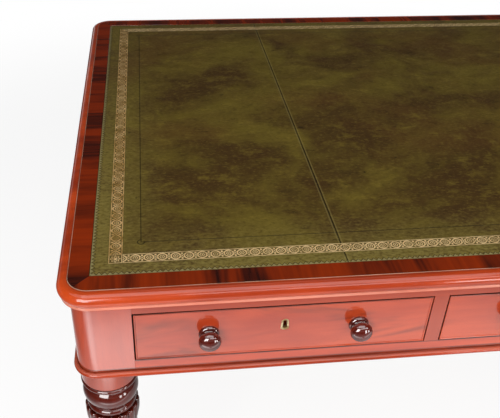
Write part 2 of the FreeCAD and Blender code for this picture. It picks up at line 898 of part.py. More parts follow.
def make_wheel():
    """A brass wheel with a crowned tread, turned about its axle."""
    half_width = d.wheel_width / 2
    bore = d.axle_radius + d.running_clearance
    shoulder = d.wheel_radius - d.wheel_crown
    wheel = turned("wheel_blank", [
        (bore, -half_width),
        (shoulder, -half_width),
        (shoulder, half_width, "X", bead_centre(shoulder, d.wheel_radius, d.wheel_width), 1),
        (bore, half_width),
    ])
    return placed("wheel", wheel, d.trail, 0, d.wheel_radius, OUT_OF_FRONT)


def make_castors():
    pieces = {"socket": make_socket(), "fork": make_fork(), "wheel": make_wheel()}
    for end, side_y in (("front", -1), ("back", 1)):
        for side, side_x in (("left", -1), ("right", 1)):
            for name, piece in pieces.items():
                label = "castor_%s_%s_%s" % (end, side, name)
                sub_part(label, [placed(label, piece, side_x * leg_axis_x, side_y * leg_axis_y, 0)])


# The drawers. Each is drawn about the middle of its opening: X across it, Y from the frieze's face inwards.

face_front = d.face_recess
face_back = face_front + d.face_thickness
face_half_width = opening_width / 2 - d.side_gap
face_low = opening_bottom + d.bottom_gap
face_high = opening_top - d.top_gap
side_top = opening_top - d.side_drop
drawer_back = half_depth - spine_face - d.stop_thickness
bottom_low = opening_bottom + d.bottom_raise
bottom_high = bottom_low + d.bottom_thickness
knob_level = opening_top - d.knob_drop
keyhole_level = opening_top - d.keyhole_drop


def bolt_centre():
    """How far the bolt's middle lies behind the frieze's face."""
    return d.face_recess + d.face_thickness - d.lock_depth / 2


def make_drawer_face():
    """The front with its cock beads: a board with strips let round its edge, their rounded noses proud."""
    inner_x = face_half_width - d.bead_width
    inner_low = face_low + d.bead_width
    inner_high = face_high - d.bead_width
    panel = board("face_board", (-inner_x, face_front, inner_low), (inner_x, face_back, inner_high))
    lock_half = d.lock_width / 2 + d.joint_clearance
    lock_room = board("lock_room", (-lock_half, face_back - d.lock_depth, face_high - d.lock_height),
                      (lock_half, face_back, face_high))
    groove = board("face_groove", (-inner_x, face_back - d.groove_depth, bottom_low),
                   (inner_x, face_back, bottom_high))
    through = d.face_thickness
    tools = [lock_room, groove, keyhole("escutcheon_room", d.joint_clearance, face_front, through)]
    for side in (-1, 1):
        tools.append(rod("dowel_hole_%d" % side, d.knob_dowel_radius + d.dowel_clearance, through,
                         side * d.knob_spacing / 2, face_back, knob_level, OUT_OF_FRONT))
    pieces = [cut("face_cut", panel, tools)]
    upper = cock_bead("bead_top", 2 * face_half_width, 0, face_high, 90)
    pieces.append(cut("bead_top_cut", upper, [lock_room]))
    pieces.append(cock_bead("bead_bottom", 2 * face_half_width, 0, face_low, -90))
    for side, turn in ((-1, 0), (1, 180)):
        length = face_high - face_low - 2 * d.bead_width
        pieces.append(cock_bead("bead_side_%d" % turn, length, side * face_half_width,
                                (face_high + face_low) / 2, turn))
    return group("drawer_face", pieces)


def cock_bead(name, length, x, z, turn):
    """A strip with a half-round nose, its outer edge through the point given. Turn is about Y: 0 puts it
    upright with its outer edge to the left."""
    nose = face_front - d.bead_proud + d.bead_width / 2
    body = padded(name + "_strip", [
        (ZERO, face_back),
        (ZERO, nose),
        (d.bead_width, nose, "Y", nose, 1),
        (d.bead_width, face_back),
    ], length, "XY_Plane", midplane=True)
    return placed(name, body, x, 0, z, Rotation(Vector(0, 1, 0), turn))


def keyhole(name, margin, start, depth):
    """A keyhole's outline, round above and flared below, padded inwards from a plane. The margin is how far
    it lies outside the outline of the plate round the keyhole."""
    neck = d.escutcheon_width / 2 + margin
    foot = d.escutcheon_foot_width / 2 + margin
    head_level = keyhole_level + (d.escutcheon_height - d.escutcheon_width) / 2
    foot_level = keyhole_level - d.escutcheon_height / 2 + d.escutcheon_foot_width / 4 - margin
    body = padded(name + "_outline", [
        (neck, head_level),
        (-neck, head_level, "Y", head_level, 1),
        (-foot, foot_level),
        (foot, foot_level, "Y", foot_level + foot, 1),
    ], depth, "XZ_Plane")
    return placed(name, body, 0, start + depth, 0)


def make_lock():
    """The lock let into the back of the drawer's face, and the plate round its keyhole."""
    high = face_high
    half = d.lock_width / 2
    case = board("lock_case", (-half, face_back - d.lock_depth, high - d.lock_height), (half, face_back, high))
    reach_x = d.bolt_width / 2 + d.bolt_clearance
    reach_y = d.bolt_thickness / 2 + d.bolt_clearance
    room = board("bolt_room", (-reach_x, bolt_centre() - reach_y, high - d.bolt_height),
                 (reach_x, bolt_centre() + reach_y, high))
    key_way = keyhole("key_way", -d.escutcheon_rim, face_back - d.lock_depth, d.lock_depth - d.lock_wall)
    liner = keyhole("escutcheon", ZERO, face_front, d.escutcheon_thickness)
    key_hole = keyhole("key_hole", -d.escutcheon_rim, face_front, d.escutcheon_thickness)
    return group("drawer_lock", [cut("lock_cut", case, [room, key_way]),
                                 cut("escutcheon_cut", liner, [key_hole])])


def make_bolt():
    """The bolt, drawn back flush with the drawer's top edge."""
    half_x = d.bolt_width / 2
    half_y = d.bolt_thickness / 2
    return board("drawer_bolt", (-half_x, bolt_centre() - half_y, face_high - d.bolt_height),
                 (half_x, bolt_centre() + half_y, face_high))


def make_drawer_box():
    """Sides, back and bottom: the bottom is held in grooves and runs out under the back."""
    side_outer = face_half_width
    side_inner = side_outer - d.side_thickness
    groove_x = side_inner + d.groove_depth
    side = board("side_board", (-side_outer, face_back, opening_bottom),
                 (-side_inner, drawer_back, side_top))
    groove = board("side_groove", (-groove_x, face_back, bottom_low), (-side_inner, drawer_back, bottom_high))
    left = cut("side_left", side, [groove])
    right = mirrored("side_right", left, Vector(1, 0, 0))
    back = board("back_board", (-side_inner, drawer_back - d.back_thickness, bottom_high),
                 (side_inner, drawer_back, side_top - d.back_drop))
    edge = groove_x - d.joint_clearance
    bottom = board("bottom_panel", (-edge, face_back - d.groove_depth + d.joint_clearance, bottom_low),
                   (edge, drawer_back, bottom_high))
    return group("drawer_box", [left, right, back, bottom])


def knob_section():
    """Half of a knob's section, with its axis upright: dowel, flange, cove, ring, and a bun that is rounder
    in front than behind."""
    flange = d.knob_flange_thickness
    flange_edge = d.knob_flange_radius - flange / 2
    ring_base = flange + d.knob_cove
    ring_top = ring_base + d.knob_ring_thickness
    ring_neck = d.knob_ring_radius - d.knob_ring_thickness / 2
    back_centre = d.knob_radius - d.knob_back_radius
    side_centre = d.knob_radius - d.knob_side_radius
    bun_back = ring_top + d.knob_neck_gap
    middle = bun_back + d.knob_back_radius
    shoulder = math.radians(60)
    shoulder_x = side_centre + d.knob_side_radius * math.cos(shoulder)
    shoulder_z = middle + d.knob_side_radius * math.sin(shoulder)
    front = shoulder_z + shoulder_x * (1 / math.cos(shoulder) - math.tan(shoulder))
    return [
        (d.knob_dowel_radius, -d.face_thickness),
        (d.knob_dowel_radius, ZERO),
        (d.knob_flange_radius, ZERO),
        (flange_edge, flange, "X", flange_edge - flange / 2, 1),
        (d.knob_neck_radius, ring_base, "Y", ring_base, -1),
        (ring_neck, ring_base),
        (ring_neck, ring_top, "X", ring_neck, 1),
        (d.knob_neck_radius, ring_top),
        (d.knob_neck_radius, bun_back),
        (back_centre, bun_back),
        (d.knob_radius, middle, "X", back_centre, 1),
        (shoulder_x, shoulder_z, "X", side_centre, 1),
        (ZERO, front, "X", ZERO, 1),
        (ZERO, -d.face_thickness),
    ]


def make_knobs():
    """Two turned knobs, each with a dowel through the drawer's face."""
    knob = turned("knob", knob_section())
    pair = [placed("knob_%d" % side, knob, side * d.knob_spacing / 2, face_front, knob_level, OUT_OF_FRONT)
            for side in (-1, 1)]
    return group("drawer_knobs", pair)


def make_drawers():
    """The same five pieces at each opening of the front, and turned round at each of the back."""
    pieces = {"face": make_drawer_face(), "box": make_drawer_box(), "knobs": make_knobs(),
              "lock": make_lock(), "bolt": make_bolt()}
    columns = ("left", "centre", "right")
    for end, side_y, rotation in (("front", -1, Rotation()), ("back", 1, HALF_TURN)):
        for index in range(DRAWERS_ON_A_SIDE):
            for name, piece in pieces.items():
                label = "%s_%s_drawer_%s" % (end, columns[index], name)
                copy = placed(label, piece, opening_centre(index), side_y * half_depth, 0, rotation)
                sub_part(label, [copy])


def check_model():
    """Stop if anything failed to build."""
    for item in doc.Objects:
        if "Invalid" in item.State or "Error" in item.State:
            raise RuntimeError("%s is %s" % (item.Name, item.State))
    for part in sub_parts:
        if part.Shape.isNull() or not part.Shape.isValid() or not part.Shape.Solids:
            raise RuntimeError("%s has no valid shape" % part.Label)


def write_parts():
    os.makedirs("parts", exist_ok=True)
    for part in sub_parts:
        solids = Part.makeCompound(part.Shape.Solids)
        solids.exportStep(os.path.join("parts", part.Label + ".step"))


make_top_board()
ring_moulding("top_edge_moulding", edge_section)
make_crossbanding()
make_leather()
make_legs()
make_long_rails()
make_end_rails()
make_dividers()
ring_moulding("frieze_moulding", astragal_section)
make_spine()
make_drawer_runners()
make_screws()
make_castors()
make_drawers()
doc.recompute()
check_model()
write_parts()
print("%d sub-parts" % len(sub_parts))
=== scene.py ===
import bmesh
import bpy
import math
from mathutils import Matrix, Vector, noise


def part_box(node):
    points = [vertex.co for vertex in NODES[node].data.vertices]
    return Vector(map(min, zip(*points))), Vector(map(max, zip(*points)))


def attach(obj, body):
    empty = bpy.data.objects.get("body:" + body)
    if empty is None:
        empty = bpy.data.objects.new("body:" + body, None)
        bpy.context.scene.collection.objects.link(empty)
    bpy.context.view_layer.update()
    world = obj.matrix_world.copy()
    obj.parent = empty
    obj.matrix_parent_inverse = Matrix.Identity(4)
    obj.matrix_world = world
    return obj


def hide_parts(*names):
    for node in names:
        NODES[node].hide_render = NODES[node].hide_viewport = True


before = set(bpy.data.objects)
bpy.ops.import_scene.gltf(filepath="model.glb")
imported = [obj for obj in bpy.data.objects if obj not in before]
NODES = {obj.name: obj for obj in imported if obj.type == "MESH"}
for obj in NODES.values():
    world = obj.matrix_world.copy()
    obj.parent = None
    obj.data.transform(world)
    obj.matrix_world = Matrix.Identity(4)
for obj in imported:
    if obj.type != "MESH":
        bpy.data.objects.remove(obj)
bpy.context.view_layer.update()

# A partners desk. X runs along it, Y from front to back, Z up, in metres.
# The shared planes come from the frame.

HALF_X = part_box("crossbanding")[1].x
HALF_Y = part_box("crossbanding")[1].y
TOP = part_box("crossbanding")[1].z
BAND_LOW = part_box("crossbanding")[0].z
LEATHER_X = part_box("leather_right")[1].x
LEATHER_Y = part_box("leather_right")[1].y
LEATHER_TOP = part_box("leather_right")[1].z
SEAM_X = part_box("leather_right")[0].x
EDGE_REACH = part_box("top_edge_moulding")[1].x - HALF_X
EDGE_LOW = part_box("top_edge_moulding")[0].z
FOOT_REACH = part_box("frieze_moulding")[1].x - HALF_X
FOOT_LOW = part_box("frieze_moulding")[0].z
FOOT_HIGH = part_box("frieze_moulding")[1].z
CORNER = 0.036
MM = 0.001
PLANE = 0.004  # a face larger than this, in square metres, is flat and isn't smoothed into its neighbours


# Mesh helpers

class Shape:
    """Vertices and faces of several closed shells, with a material index for each face."""

    def __init__(self):
        self.verts = []
        self.faces = []
        self.slots = []
        self.rounded = []

    def add(self, verts, faces, slot=0, move=None, rounded=True):
        start = len(self.verts)
        mirrored = move is not None and move.determinant() < 0
        for point in verts:
            self.verts.append(tuple(move @ Vector(point)) if move is not None else tuple(point))
        for face in faces:
            order = reversed(face) if mirrored else face
            self.faces.append([start + index for index in order])
            self.slots.append(slot)
            self.rounded.append(rounded)

    def add_mesh(self, bm, slot=0, move=None, rounded=True):
        bm.verts.index_update()
        verts = [vert.co.copy() for vert in bm.verts]
        faces = [[vert.index for vert in face.verts] for face in bm.faces]
        bm.free()
        self.add(verts, faces, slot, move, rounded)

    def piece(self, name, body, materials, nodes, sharp_angle=34):
        """Make the object, let it ride on its body and stand for its CAD nodes."""
        mesh = bpy.data.meshes.new(name)
        mesh.from_pydata(self.verts, [], self.faces)
        for material in materials:
            mesh.materials.append(material)
        mesh.polygons.foreach_set("material_index", self.slots)
        bm = bmesh.new()
        bm.from_mesh(mesh)
        for face, rounded in zip(bm.faces, self.rounded):
            face.smooth = rounded and face.calc_area() < PLANE
        limit = math.radians(sharp_angle)
        for edge in bm.edges:
            if len(edge.link_faces) == 2 and edge.calc_face_angle(0) > limit:
                edge.smooth = False
        bm.to_mesh(mesh)
        bm.free()
        thing = bpy.data.objects.new(name, mesh)
        bpy.context.scene.collection.objects.link(thing)
        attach(thing, body)
        if nodes:
            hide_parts(*nodes)
        return thing


def bevelled(low, high, width, segments=2):
    """A board between two corners, its edges eased."""
    bm = bmesh.new()
    bmesh.ops.create_cube(bm, size=1)
    low, high = Vector(low), Vector(high)
    for vert in bm.verts:
        vert.co = [(low[i] + high[i]) / 2 + vert.co[i] * (high[i] - low[i]) for i in range(3)]
    bmesh.ops.bevel(bm, geom=bm.edges[:], offset=width, segments=segments, profile=0.5, affect="EDGES")
    return bm


def prism(outline, low, high, width, segments=2):
    """An outline in X and Y drawn up between two levels, its edges eased where they are sharp."""
    bm = bmesh.new()
    face = bm.faces.new([bm.verts.new((x, y, low)) for x, y in outline])
    face.normal_update()
    if face.normal.z > 0:
        face.normal_flip()
    grown = bmesh.ops.extrude_face_region(bm, geom=[face])
    for item in grown["geom"]:
        if isinstance(item, bmesh.types.BMVert):
            item.co.z = high
    bmesh.ops.recalc_face_normals(bm, faces=bm.faces[:])
    sharp = [edge for edge in bm.edges if edge.calc_face_angle(0) > math.radians(30)]
    if width:
        bmesh.ops.bevel(bm, geom=sharp, offset=width, segments=segments, profile=0.5, affect="EDGES")
    return bm


def arc(centre, radius, start, end, steps):
    """Points of an arc, with angles in degrees."""
    points = []
    for index in range(steps + 1):
        angle = math.radians(start + (end - start) * index / steps)
        points.append((centre[0] + radius * math.cos(angle), centre[1] + radius * math.sin(angle)))
    return points


def ring(section, steps=14):
    """A closed section of (reach, level) swept round the frieze's rounded oblong."""
    centres = ((HALF_X, -HALF_Y), (HALF_X, HALF_Y), (-HALF_X, HALF_Y), (-HALF_X, -HALF_Y))
    rows = []
    for corner, (x, y) in enumerate(centres):
        x -= math.copysign(CORNER, x)
        y -= math.copysign(CORNER, y)
        for step in range(steps + 1):
            angle = math.radians(90 * (corner - 1) + 90 * step / steps)
            across_x, across_y = math.cos(angle), math.sin(angle)
            rows.append([(x + (CORNER + reach) * across_x, y + (CORNER + reach) * across_y, level)
                         for reach, level in section])
    return closed_rows(rows)


def closed_rows(rows):
    """Faces between rows of points, closed both ways."""
    count = len(rows[0])
    verts = [point for row in rows for point in row]
    faces = []
    for i in range(len(rows)):
        after = (i + 1) % len(rows)
        for j in range(count):
            following = (j + 1) % count
            faces.append((i * count + j, after * count + j, after * count + following, i * count + following))
    return verts, faces


def lathe(profile, steps, shape_at=None):
    """A profile of (radius, level) from the top down, turned about Z. shape_at(radius, level, angle) gives
    the radius where the work is carved."""
    verts = []
    for radius, level in profile:
        for step in range(steps):
            angle = 2 * math.pi * step / steps
            at = shape_at(radius, level, angle) if shape_at else radius
            verts.append((at * math.cos(angle), at * math.sin(angle), level))
    faces = []
    for i in range(len(profile) - 1):
        for j in range(steps):
            after = (j + 1) % steps
            faces.append((i * steps + j, (i + 1) * steps + j, (i + 1) * steps + after, i * steps + after))
    faces.append(tuple(range(steps)))
    last = (len(profile) - 1) * steps
    faces.append(tuple(reversed(range(last, last + steps))))
    return verts, faces


def bead(neck, crest, top, height, steps=12):
    """Profile points of a rounded ring, from its top down."""
    rise = crest - neck
    radius = (height * height / 4 + rise * rise) / (2 * rise)
    half = math.degrees(math.asin(min(1.0, height / 2 / radius)))
    if rise > radius:
        half = 180 - half
    return arc((crest - radius, top - height / 2), radius, half, -half, steps)


# Material helpers

class Value:
    """A socket that does arithmetic by adding Math nodes."""

    def __init__(self, graph, socket):
        self.graph = graph
        self.socket = socket

    def math(self, operation, *others):
        return self.graph.math(operation, self, *others)

    def __add__(self, other):
        return self.math("ADD", other)

    def __sub__(self, other):
        return self.math("SUBTRACT", other)

    def __rsub__(self, other):
        return self.graph.math("SUBTRACT", other, self)

    def __mul__(self, other):
        return self.math("MULTIPLY", other)

    def __truediv__(self, other):
        return self.math("DIVIDE", other)

    __radd__ = __add__
    __rmul__ = __mul__

    def absolute(self):
        return self.math("ABSOLUTE")

    def fraction(self):
        return self.math("FRACT")

    def below(self, other):
        return self.math("LESS_THAN", other)

    def above(self, other):
        return self.math("GREATER_THAN", other)

    def lowest(self, other):
        return self.math("MINIMUM", other)

    def highest(self, other):
        return self.math("MAXIMUM", other)

    def step(self, low, high, low_value=0.0, high_value=1.0):
        """An eased step between two values."""
        node = self.graph.add("ShaderNodeMapRange", interpolation_type="SMOOTHSTEP")
        self.graph.join(node.inputs["Value"], self)
        ends = {"From Min": low, "From Max": high, "To Min": low_value, "To Max": high_value}
        for key, number in ends.items():
            self.graph.join(node.inputs[key], number)
        return Value(self.graph, node.outputs["Result"])


class Graph:
    """A material's nodes."""

    def __init__(self, name):
        self.material = bpy.data.materials.new(name)
        self.material.use_nodes = True
        self.tree = self.material.node_tree
        self.tree.nodes.clear()
        place = self.add("ShaderNodeTexCoord")
        split = self.add("ShaderNodeSeparateXYZ")
        self.tree.links.new(place.outputs["Object"], split.inputs[0])
        self.x, self.y, self.z = (Value(self, split.outputs[i]) for i in range(3))

    def add(self, kind, **settings):
        node = self.tree.nodes.new(kind)
        for key, setting in settings.items():
            setattr(node, key, setting)
        return node

    def join(self, entry, source):
        if isinstance(source, Value):
            self.tree.links.new(source.socket, entry)
        else:
            entry.default_value = source

    def math(self, operation, *terms):
        node = self.add("ShaderNodeMath", operation=operation)
        for index, term in enumerate(terms):
            self.join(node.inputs[index], term)
        return Value(self, node.outputs[0])

    def vector(self, x, y, z):
        node = self.add("ShaderNodeCombineXYZ")
        for index, term in enumerate((x, y, z)):
            self.join(node.inputs[index], term)
        return Value(self, node.outputs[0])

    def noise(self, place, scale=1.0, detail=3.0, roughness=0.5, distortion=0.0):
        node = self.add("ShaderNodeTexNoise")
        self.join(node.inputs["Vector"], place)
        for key, number in (("Scale", scale), ("Detail", detail), ("Roughness", roughness),
                            ("Distortion", distortion)):
            node.inputs[key].default_value = number
        return Value(self, node.outputs["Fac"])

    def cells(self, place, scale, feature="F1"):
        node = self.add("ShaderNodeTexVoronoi", feature=feature)
        self.join(node.inputs["Vector"], place)
        node.inputs["Scale"].default_value = scale
        return Value(self, node.outputs["Distance"])

    def mix(self, share, first, second):
        node = self.add("ShaderNodeMix", data_type="RGBA")
        self.join(node.inputs["Factor"], share)
        for key, colour in (("A", first), ("B", second)):
            entry = [item for item in node.inputs if item.name == key and item.type == "RGBA"][0]
            self.join(entry, colour if isinstance(colour, Value) else (*colour, 1.0))
        return Value(self, [item for item in node.outputs if item.type == "RGBA"][0])

    def bump(self, height, distance):
        node = self.add("ShaderNodeBump")
        node.inputs["Strength"].default_value = 1.0
        node.inputs["Distance"].default_value = distance
        self.join(node.inputs["Height"], height)
        return Value(self, node.outputs["Normal"])

    def finish(self, colour, roughness, normal=None, coat_normal=None, **fixed):
        """The surface. What is the same all over is set on the shader's own sockets."""
        shader = self.add("ShaderNodeBsdfPrincipled")
        self.join(shader.inputs["Base Color"], colour)
        self.join(shader.inputs["Roughness"], roughness)
        if normal:
            self.join(shader.inputs["Normal"], normal)
        if coat_normal:
            self.join(shader.inputs["Coat Normal"], coat_normal)
        for key, number in fixed.items():
            self.join(shader.inputs[key.replace("_", " ")], number)
        output = self.add("ShaderNodeOutputMaterial")
        self.tree.links.new(shader.outputs[0], output.inputs[0])
        return self.material


def wood(name, grain, light, dark, streak=1.0, flame=0.0, polish=1.0, pores=0.18, roughness=0.34, tint=None,
         coat=1.6, gloss=0.05, wear_and_painted_light=(), stripes_from=0.0):
    """Polished or bare wood. Grain is the axis that it runs along, coat the polish's index and gloss its
    roughness. The stripes, each (low, high, strength, colour) between two levels, are mostly painted shade in
    corners, gaps and under the foot moulding; the pale ones are partly rubbed edges and partly painted
    highlights. The last argument shows them only further than that from the middle, along Y."""
    g = Graph(name)
    axes = {"x": (g.x, g.y, g.z), "y": (g.y, g.x, g.z), "z": (g.z, g.x, g.y)}
    along, across, other = axes[grain]
    sway = g.noise(g.vector(along * 2.2, across * 5.0, other * 5.0), detail=2.0) - 0.5
    shifted = across + sway * (0.03 + 0.16 * flame)
    shifted_other = other + sway * (0.02 + 0.10 * flame)
    broad = g.noise(g.vector(along * 2.6, shifted * 15.0, shifted_other * 15.0), detail=3.0, roughness=0.55)
    lines = g.noise(g.vector(along * 7.0, shifted * 150.0, shifted_other * 150.0), detail=4.0, roughness=0.6)
    flecks = g.noise(g.vector(along * 45.0, shifted * 1500.0, shifted_other * 1500.0), detail=1.0)
    share = (broad.step(0.32, 0.68) * 0.72 + lines * 0.40 - 0.07) * streak + (1 - streak) * 0.5
    colour = g.mix(share.highest(0.0).lowest(1.0), dark, light)
    if tint:
        smoke = g.noise(g.vector(along * 5.0, shifted * 22.0, shifted_other * 22.0), detail=3.0,
                        distortion=0.8)
        colour = g.mix(smoke.step(0.50, 0.72) * 0.75, colour, tint)
    pore = flecks.step(0.58, 0.70)
    colour = g.mix(pore * pores, colour, tuple(0.35 * part for part in dark))
    # Stripes of painted shade, and pale stripes of wear with painted highlight, broken up by noise.
    for low, high, strength, stripe_colour in wear_and_painted_light:
        uneven_mark = g.noise(g.vector(g.x * 11.0, g.y * 11.0, 0.5), detail=3.0)
        stripe = (g.z - (low + high) / 2).absolute().step((high - low) * 0.35, (high - low) * 0.5, 1.0, 0.0)
        if stripes_from:
            stripe = stripe * g.y.absolute().step(stripes_from - 0.0008, stripes_from)
        colour = g.mix(stripe * uneven_mark.step(0.25, 0.65, 0.55, 1.0) * strength, colour, stripe_colour)
    height = lines * 0.4 + broad * 0.6
    rough = lines.step(0.3, 0.7, roughness - 0.05, roughness + 0.07)
    normal = g.bump(height - pore * 0.5, 0.00008)
    if not polish:
        return g.finish(colour, rough, normal=normal)
    film = g.noise(g.vector(g.x, g.y, g.z), scale=26.0, detail=2.0)
    coat_normal = g.bump(film, 0.00016)
    return g.finish(colour, rough, normal=normal, coat_normal=coat_normal, Coat_Weight=polish,
                    Coat_Roughness=gloss, Coat_IOR=coat, Specular_IOR_Level=0.1)


def crossband_wood(name, along_x):
    """Veneer strips whose grain runs across the band: it changes along the band, and at each new leaf. A pale
    line is painted along its outer edge, partly rubbed polish and partly a painted highlight at the quirk."""
    g = Graph(name)
    run, across = (g.x, g.y) if along_x else (g.y, g.x)
    leaf = g.noise(g.vector(run * 2.6, 0.0, 0.0), detail=1.0)
    bands = g.noise(g.vector(run * 19.0, across * 2.2, 0.7), detail=3.0, roughness=0.6, distortion=0.4)
    lines = g.noise(g.vector(run * 150.0, across * 6.0, 0.3), detail=3.0, roughness=0.6)
    share = leaf.step(0.35, 0.65) * 0.26 + bands.step(0.36, 0.62) * 0.66 + lines * 0.55 - 0.27
    colour = g.mix(share.highest(0.0).lowest(1.0), (0.030, 0.0060, 0.0040), (0.270, 0.027, 0.0036))
    # A pale line at the outer edge: partly rubbed polish, partly a painted highlight.
    over_x = (g.x.absolute() - (HALF_X - CORNER)).highest(0.0)
    over_y = (g.y.absolute() - (HALF_Y - CORNER)).highest(0.0)
    outside = (over_x * over_x + over_y * over_y).math("POWER", 0.5)
    edge = CORNER - outside
    wear_and_painted_light = g.noise(g.vector(g.x * 14.0, g.y * 14.0, 0.0), detail=3.0)
    uneven_mark = edge.step(0.0005, 0.0016, 1.0, 0.0) * wear_and_painted_light.step(0.25, 0.6, 0.45, 0.95)
    colour = g.mix(uneven_mark, colour, (0.52, 0.30, 0.21))
    normal = g.bump(lines, 0.00006)
    film = g.noise(g.vector(g.x, g.y, g.z), scale=26.0, detail=2.0)
    return g.finish(colour, lines.step(0.3, 0.7, 0.26, 0.36), normal=normal,
                    coat_normal=g.bump(film, 0.00010), Coat_Weight=1.0, Coat_Roughness=0.06, Coat_IOR=1.42,
                    Specular_IOR_Level=0.0)


def metal(name, bright, dull, scale, roughness, cover):
    """Worn metal with patches of tarnish."""
    g = Graph(name)
    place = g.vector(g.x, g.y, g.z)
    patches = g.noise(place, scale=scale, detail=5.0, roughness=0.65)
    scratches = g.noise(g.vector(g.x * 900.0, g.y * 900.0, g.z * 120.0), detail=2.0)
    share = patches.step(0.5 - cover, 0.62)
    colour = g.mix(share, bright, dull)
    rough = (share * 0.22 + scratches * 0.10 + roughness).lowest(0.9)
    normal = g.bump(scratches * 0.3 + patches, 0.00005)
    return g.finish(colour, rough, normal=normal, Metallic=1.0)


def make_leather():
    """Olive leather, mottled with brown, with blind and gold tooling set in from its edge."""
    g = Graph("tooled_leather")
    from_side = LEATHER_X - g.x.absolute()
    from_end = LEATHER_Y - g.y.absolute()
    inset = from_side.lowest(from_end)
    corner = from_side.highest(from_end)
    along_front = from_end.below(from_side)
    run = along_front * g.x + (1 - along_front) * g.y

    # the hide's own colour
    place = g.vector(g.x, g.y, 0.2)
    warp = g.noise(place, scale=4.0, detail=3.0) - 0.5
    wide = g.noise(g.vector(g.x * 4.6 + warp * 1.6, g.y * 5.6 + warp * 1.6, 0.2), detail=4.0, roughness=0.62)
    tone = g.noise(g.vector(g.x * 3.1, g.y * 3.6, 4.7), detail=3.0, roughness=0.6)
    smear = g.noise(g.vector(g.x * 21.0 + warp * 2.0, g.y * 30.0 + warp * 2.0, 0.5), detail=6.0,
                    roughness=0.74)
    fine = g.noise(g.vector(g.x * 120.0, g.y * 190.0, 0.9), detail=3.0, roughness=0.6)
    colour = g.mix(wide.step(0.34, 0.66), (0.058, 0.030, 0.0088), (0.128, 0.092, 0.0150))
    colour = g.mix(tone.step(0.46, 0.68) * 0.60, colour, (0.094, 0.046, 0.0120))
    colour = g.mix(smear.step(0.52, 0.74) * 0.62, colour, (0.030, 0.0160, 0.0066))
    colour = g.mix(smear.step(0.50, 0.28) * 0.62, colour, (0.185, 0.132, 0.0210))
    colour = g.mix(fine.step(0.52, 0.74) * 0.42, colour, (0.190, 0.135, 0.0280))
    colour = g.mix(fine.step(0.47, 0.27) * 0.42, colour, (0.026, 0.0150, 0.0062))
    # paler towards the edge, and more so at the front than at the back: painted light falling from the front
    border = inset.step(0.024, 0.032, 1.0, 0.0)
    paler_edge_and_front_light = (inset.step(0.02, 0.16, 1.0, 0.0) + border * 0.6) * g.y.step(-0.56, 0.3, 1.0, 0.45)
    colour = g.mix(paler_edge_and_front_light * fine.step(0.2, 0.8) * 0.60, colour, (0.215, 0.170, 0.048))
    scuff = g.noise(g.vector(g.x * 22.0, g.y * 60.0, 0.4), detail=4.0, roughness=0.6, distortion=1.0)
    colour = g.mix(scuff.step(0.67, 0.73) * 0.70, colour, (0.016, 0.010, 0.004))

    # the gold border: interlaced bands round a row of rosettes, between fine lines
    middle = 0.0400
    cell = 0.0220
    wear = g.noise(g.vector(g.x * 42.0, g.y * 42.0, 0.1), detail=5.0, roughness=0.7)
    off = inset - middle
    t = (run / cell + 0.5).fraction() - 0.5
    side = t * cell
    from_centre = (side * side + off * off).math("POWER", 0.5)
    turn = g.math("ARCTAN2", off, side)
    circle = (from_centre - 0.0074).absolute().below(0.00095)
    petals = (from_centre - 0.0037 - (turn * 6.0).math("COSINE") * 0.0006).absolute().below(0.00075)
    heart = from_centre.below(0.0013)
    wave = (t * math.pi).math("COSINE") * 0.0086
    strand = (off.absolute() - wave).absolute().below(0.00085)
    knot_side = (0.5 - t.absolute()) * cell
    leaf_off = off.absolute() - 0.0060
    leaf = ((knot_side * knot_side) * 1.6 + leaf_off * leaf_off).below(0.0000052)
    rule = (off.absolute() - 0.0106).absolute().below(0.00065)
    dot_row = (off.absolute() - 0.0096).absolute().below(0.0003)
    dots = dot_row * ((run / 0.0024).fraction() - 0.5).absolute().below(0.28)
    figure = circle.highest(petals).highest(heart).highest(strand).highest(leaf).highest(dots).highest(rule)
    # a square rosette at each corner
    from_corner_x = from_side - middle
    from_corner_y = from_end - middle
    at_corner = corner.below(middle + 0.0118)
    reach = (from_corner_x * from_corner_x + from_corner_y * from_corner_y).math("POWER", 0.5)
    spin = g.math("ARCTAN2", from_corner_y, from_corner_x)
    star = (reach - 0.0062 - (spin * 8.0).math("COSINE") * 0.0016).absolute().below(0.0010)
    hub = reach.below(0.0030)
    square = from_corner_x.absolute().highest(from_corner_y.absolute())
    frame_line = (square - 0.0104).absolute().below(0.0006)
    corner_figure = star.highest(hub).highest(frame_line)
    within = off.absolute().below(0.0112)
    gold = (at_corner * corner_figure + (1 - at_corner) * figure * within).lowest(1.0)
    kept = wear.step(0.30, 0.52)
    gold = gold * (0.35 + kept * 0.65)

    # blind tooling: a saw-toothed roll at the edge and a single line further in
    teeth = ((run / 0.0088).fraction() - 0.5).absolute()
    depth = 0.0016 + teeth * 0.0110
    saw = (inset - depth - 0.0006).absolute().below(0.0011)
    saw_light = inset.below(depth - 0.0002) * inset.above(0.0007)
    line_inset = 0.0820
    line = (inset - line_inset).absolute().step(0.0005, 0.0013, 1.0, 0.0)
    past_side, past_end = from_side - line_inset, from_end - line_inset
    inner_corner = past_side * past_side + past_end * past_end
    curl = (inner_corner.math("POWER", 0.5) - 0.0060).absolute().below(0.0012)
    curl = curl * inset.below(line_inset + 0.0015)
    pressed = line.highest(curl).highest(saw)
    colour = g.mix(pressed * 0.72, colour, (0.013, 0.010, 0.004))
    colour = g.mix(saw_light * 0.62, colour, (0.30, 0.25, 0.115))
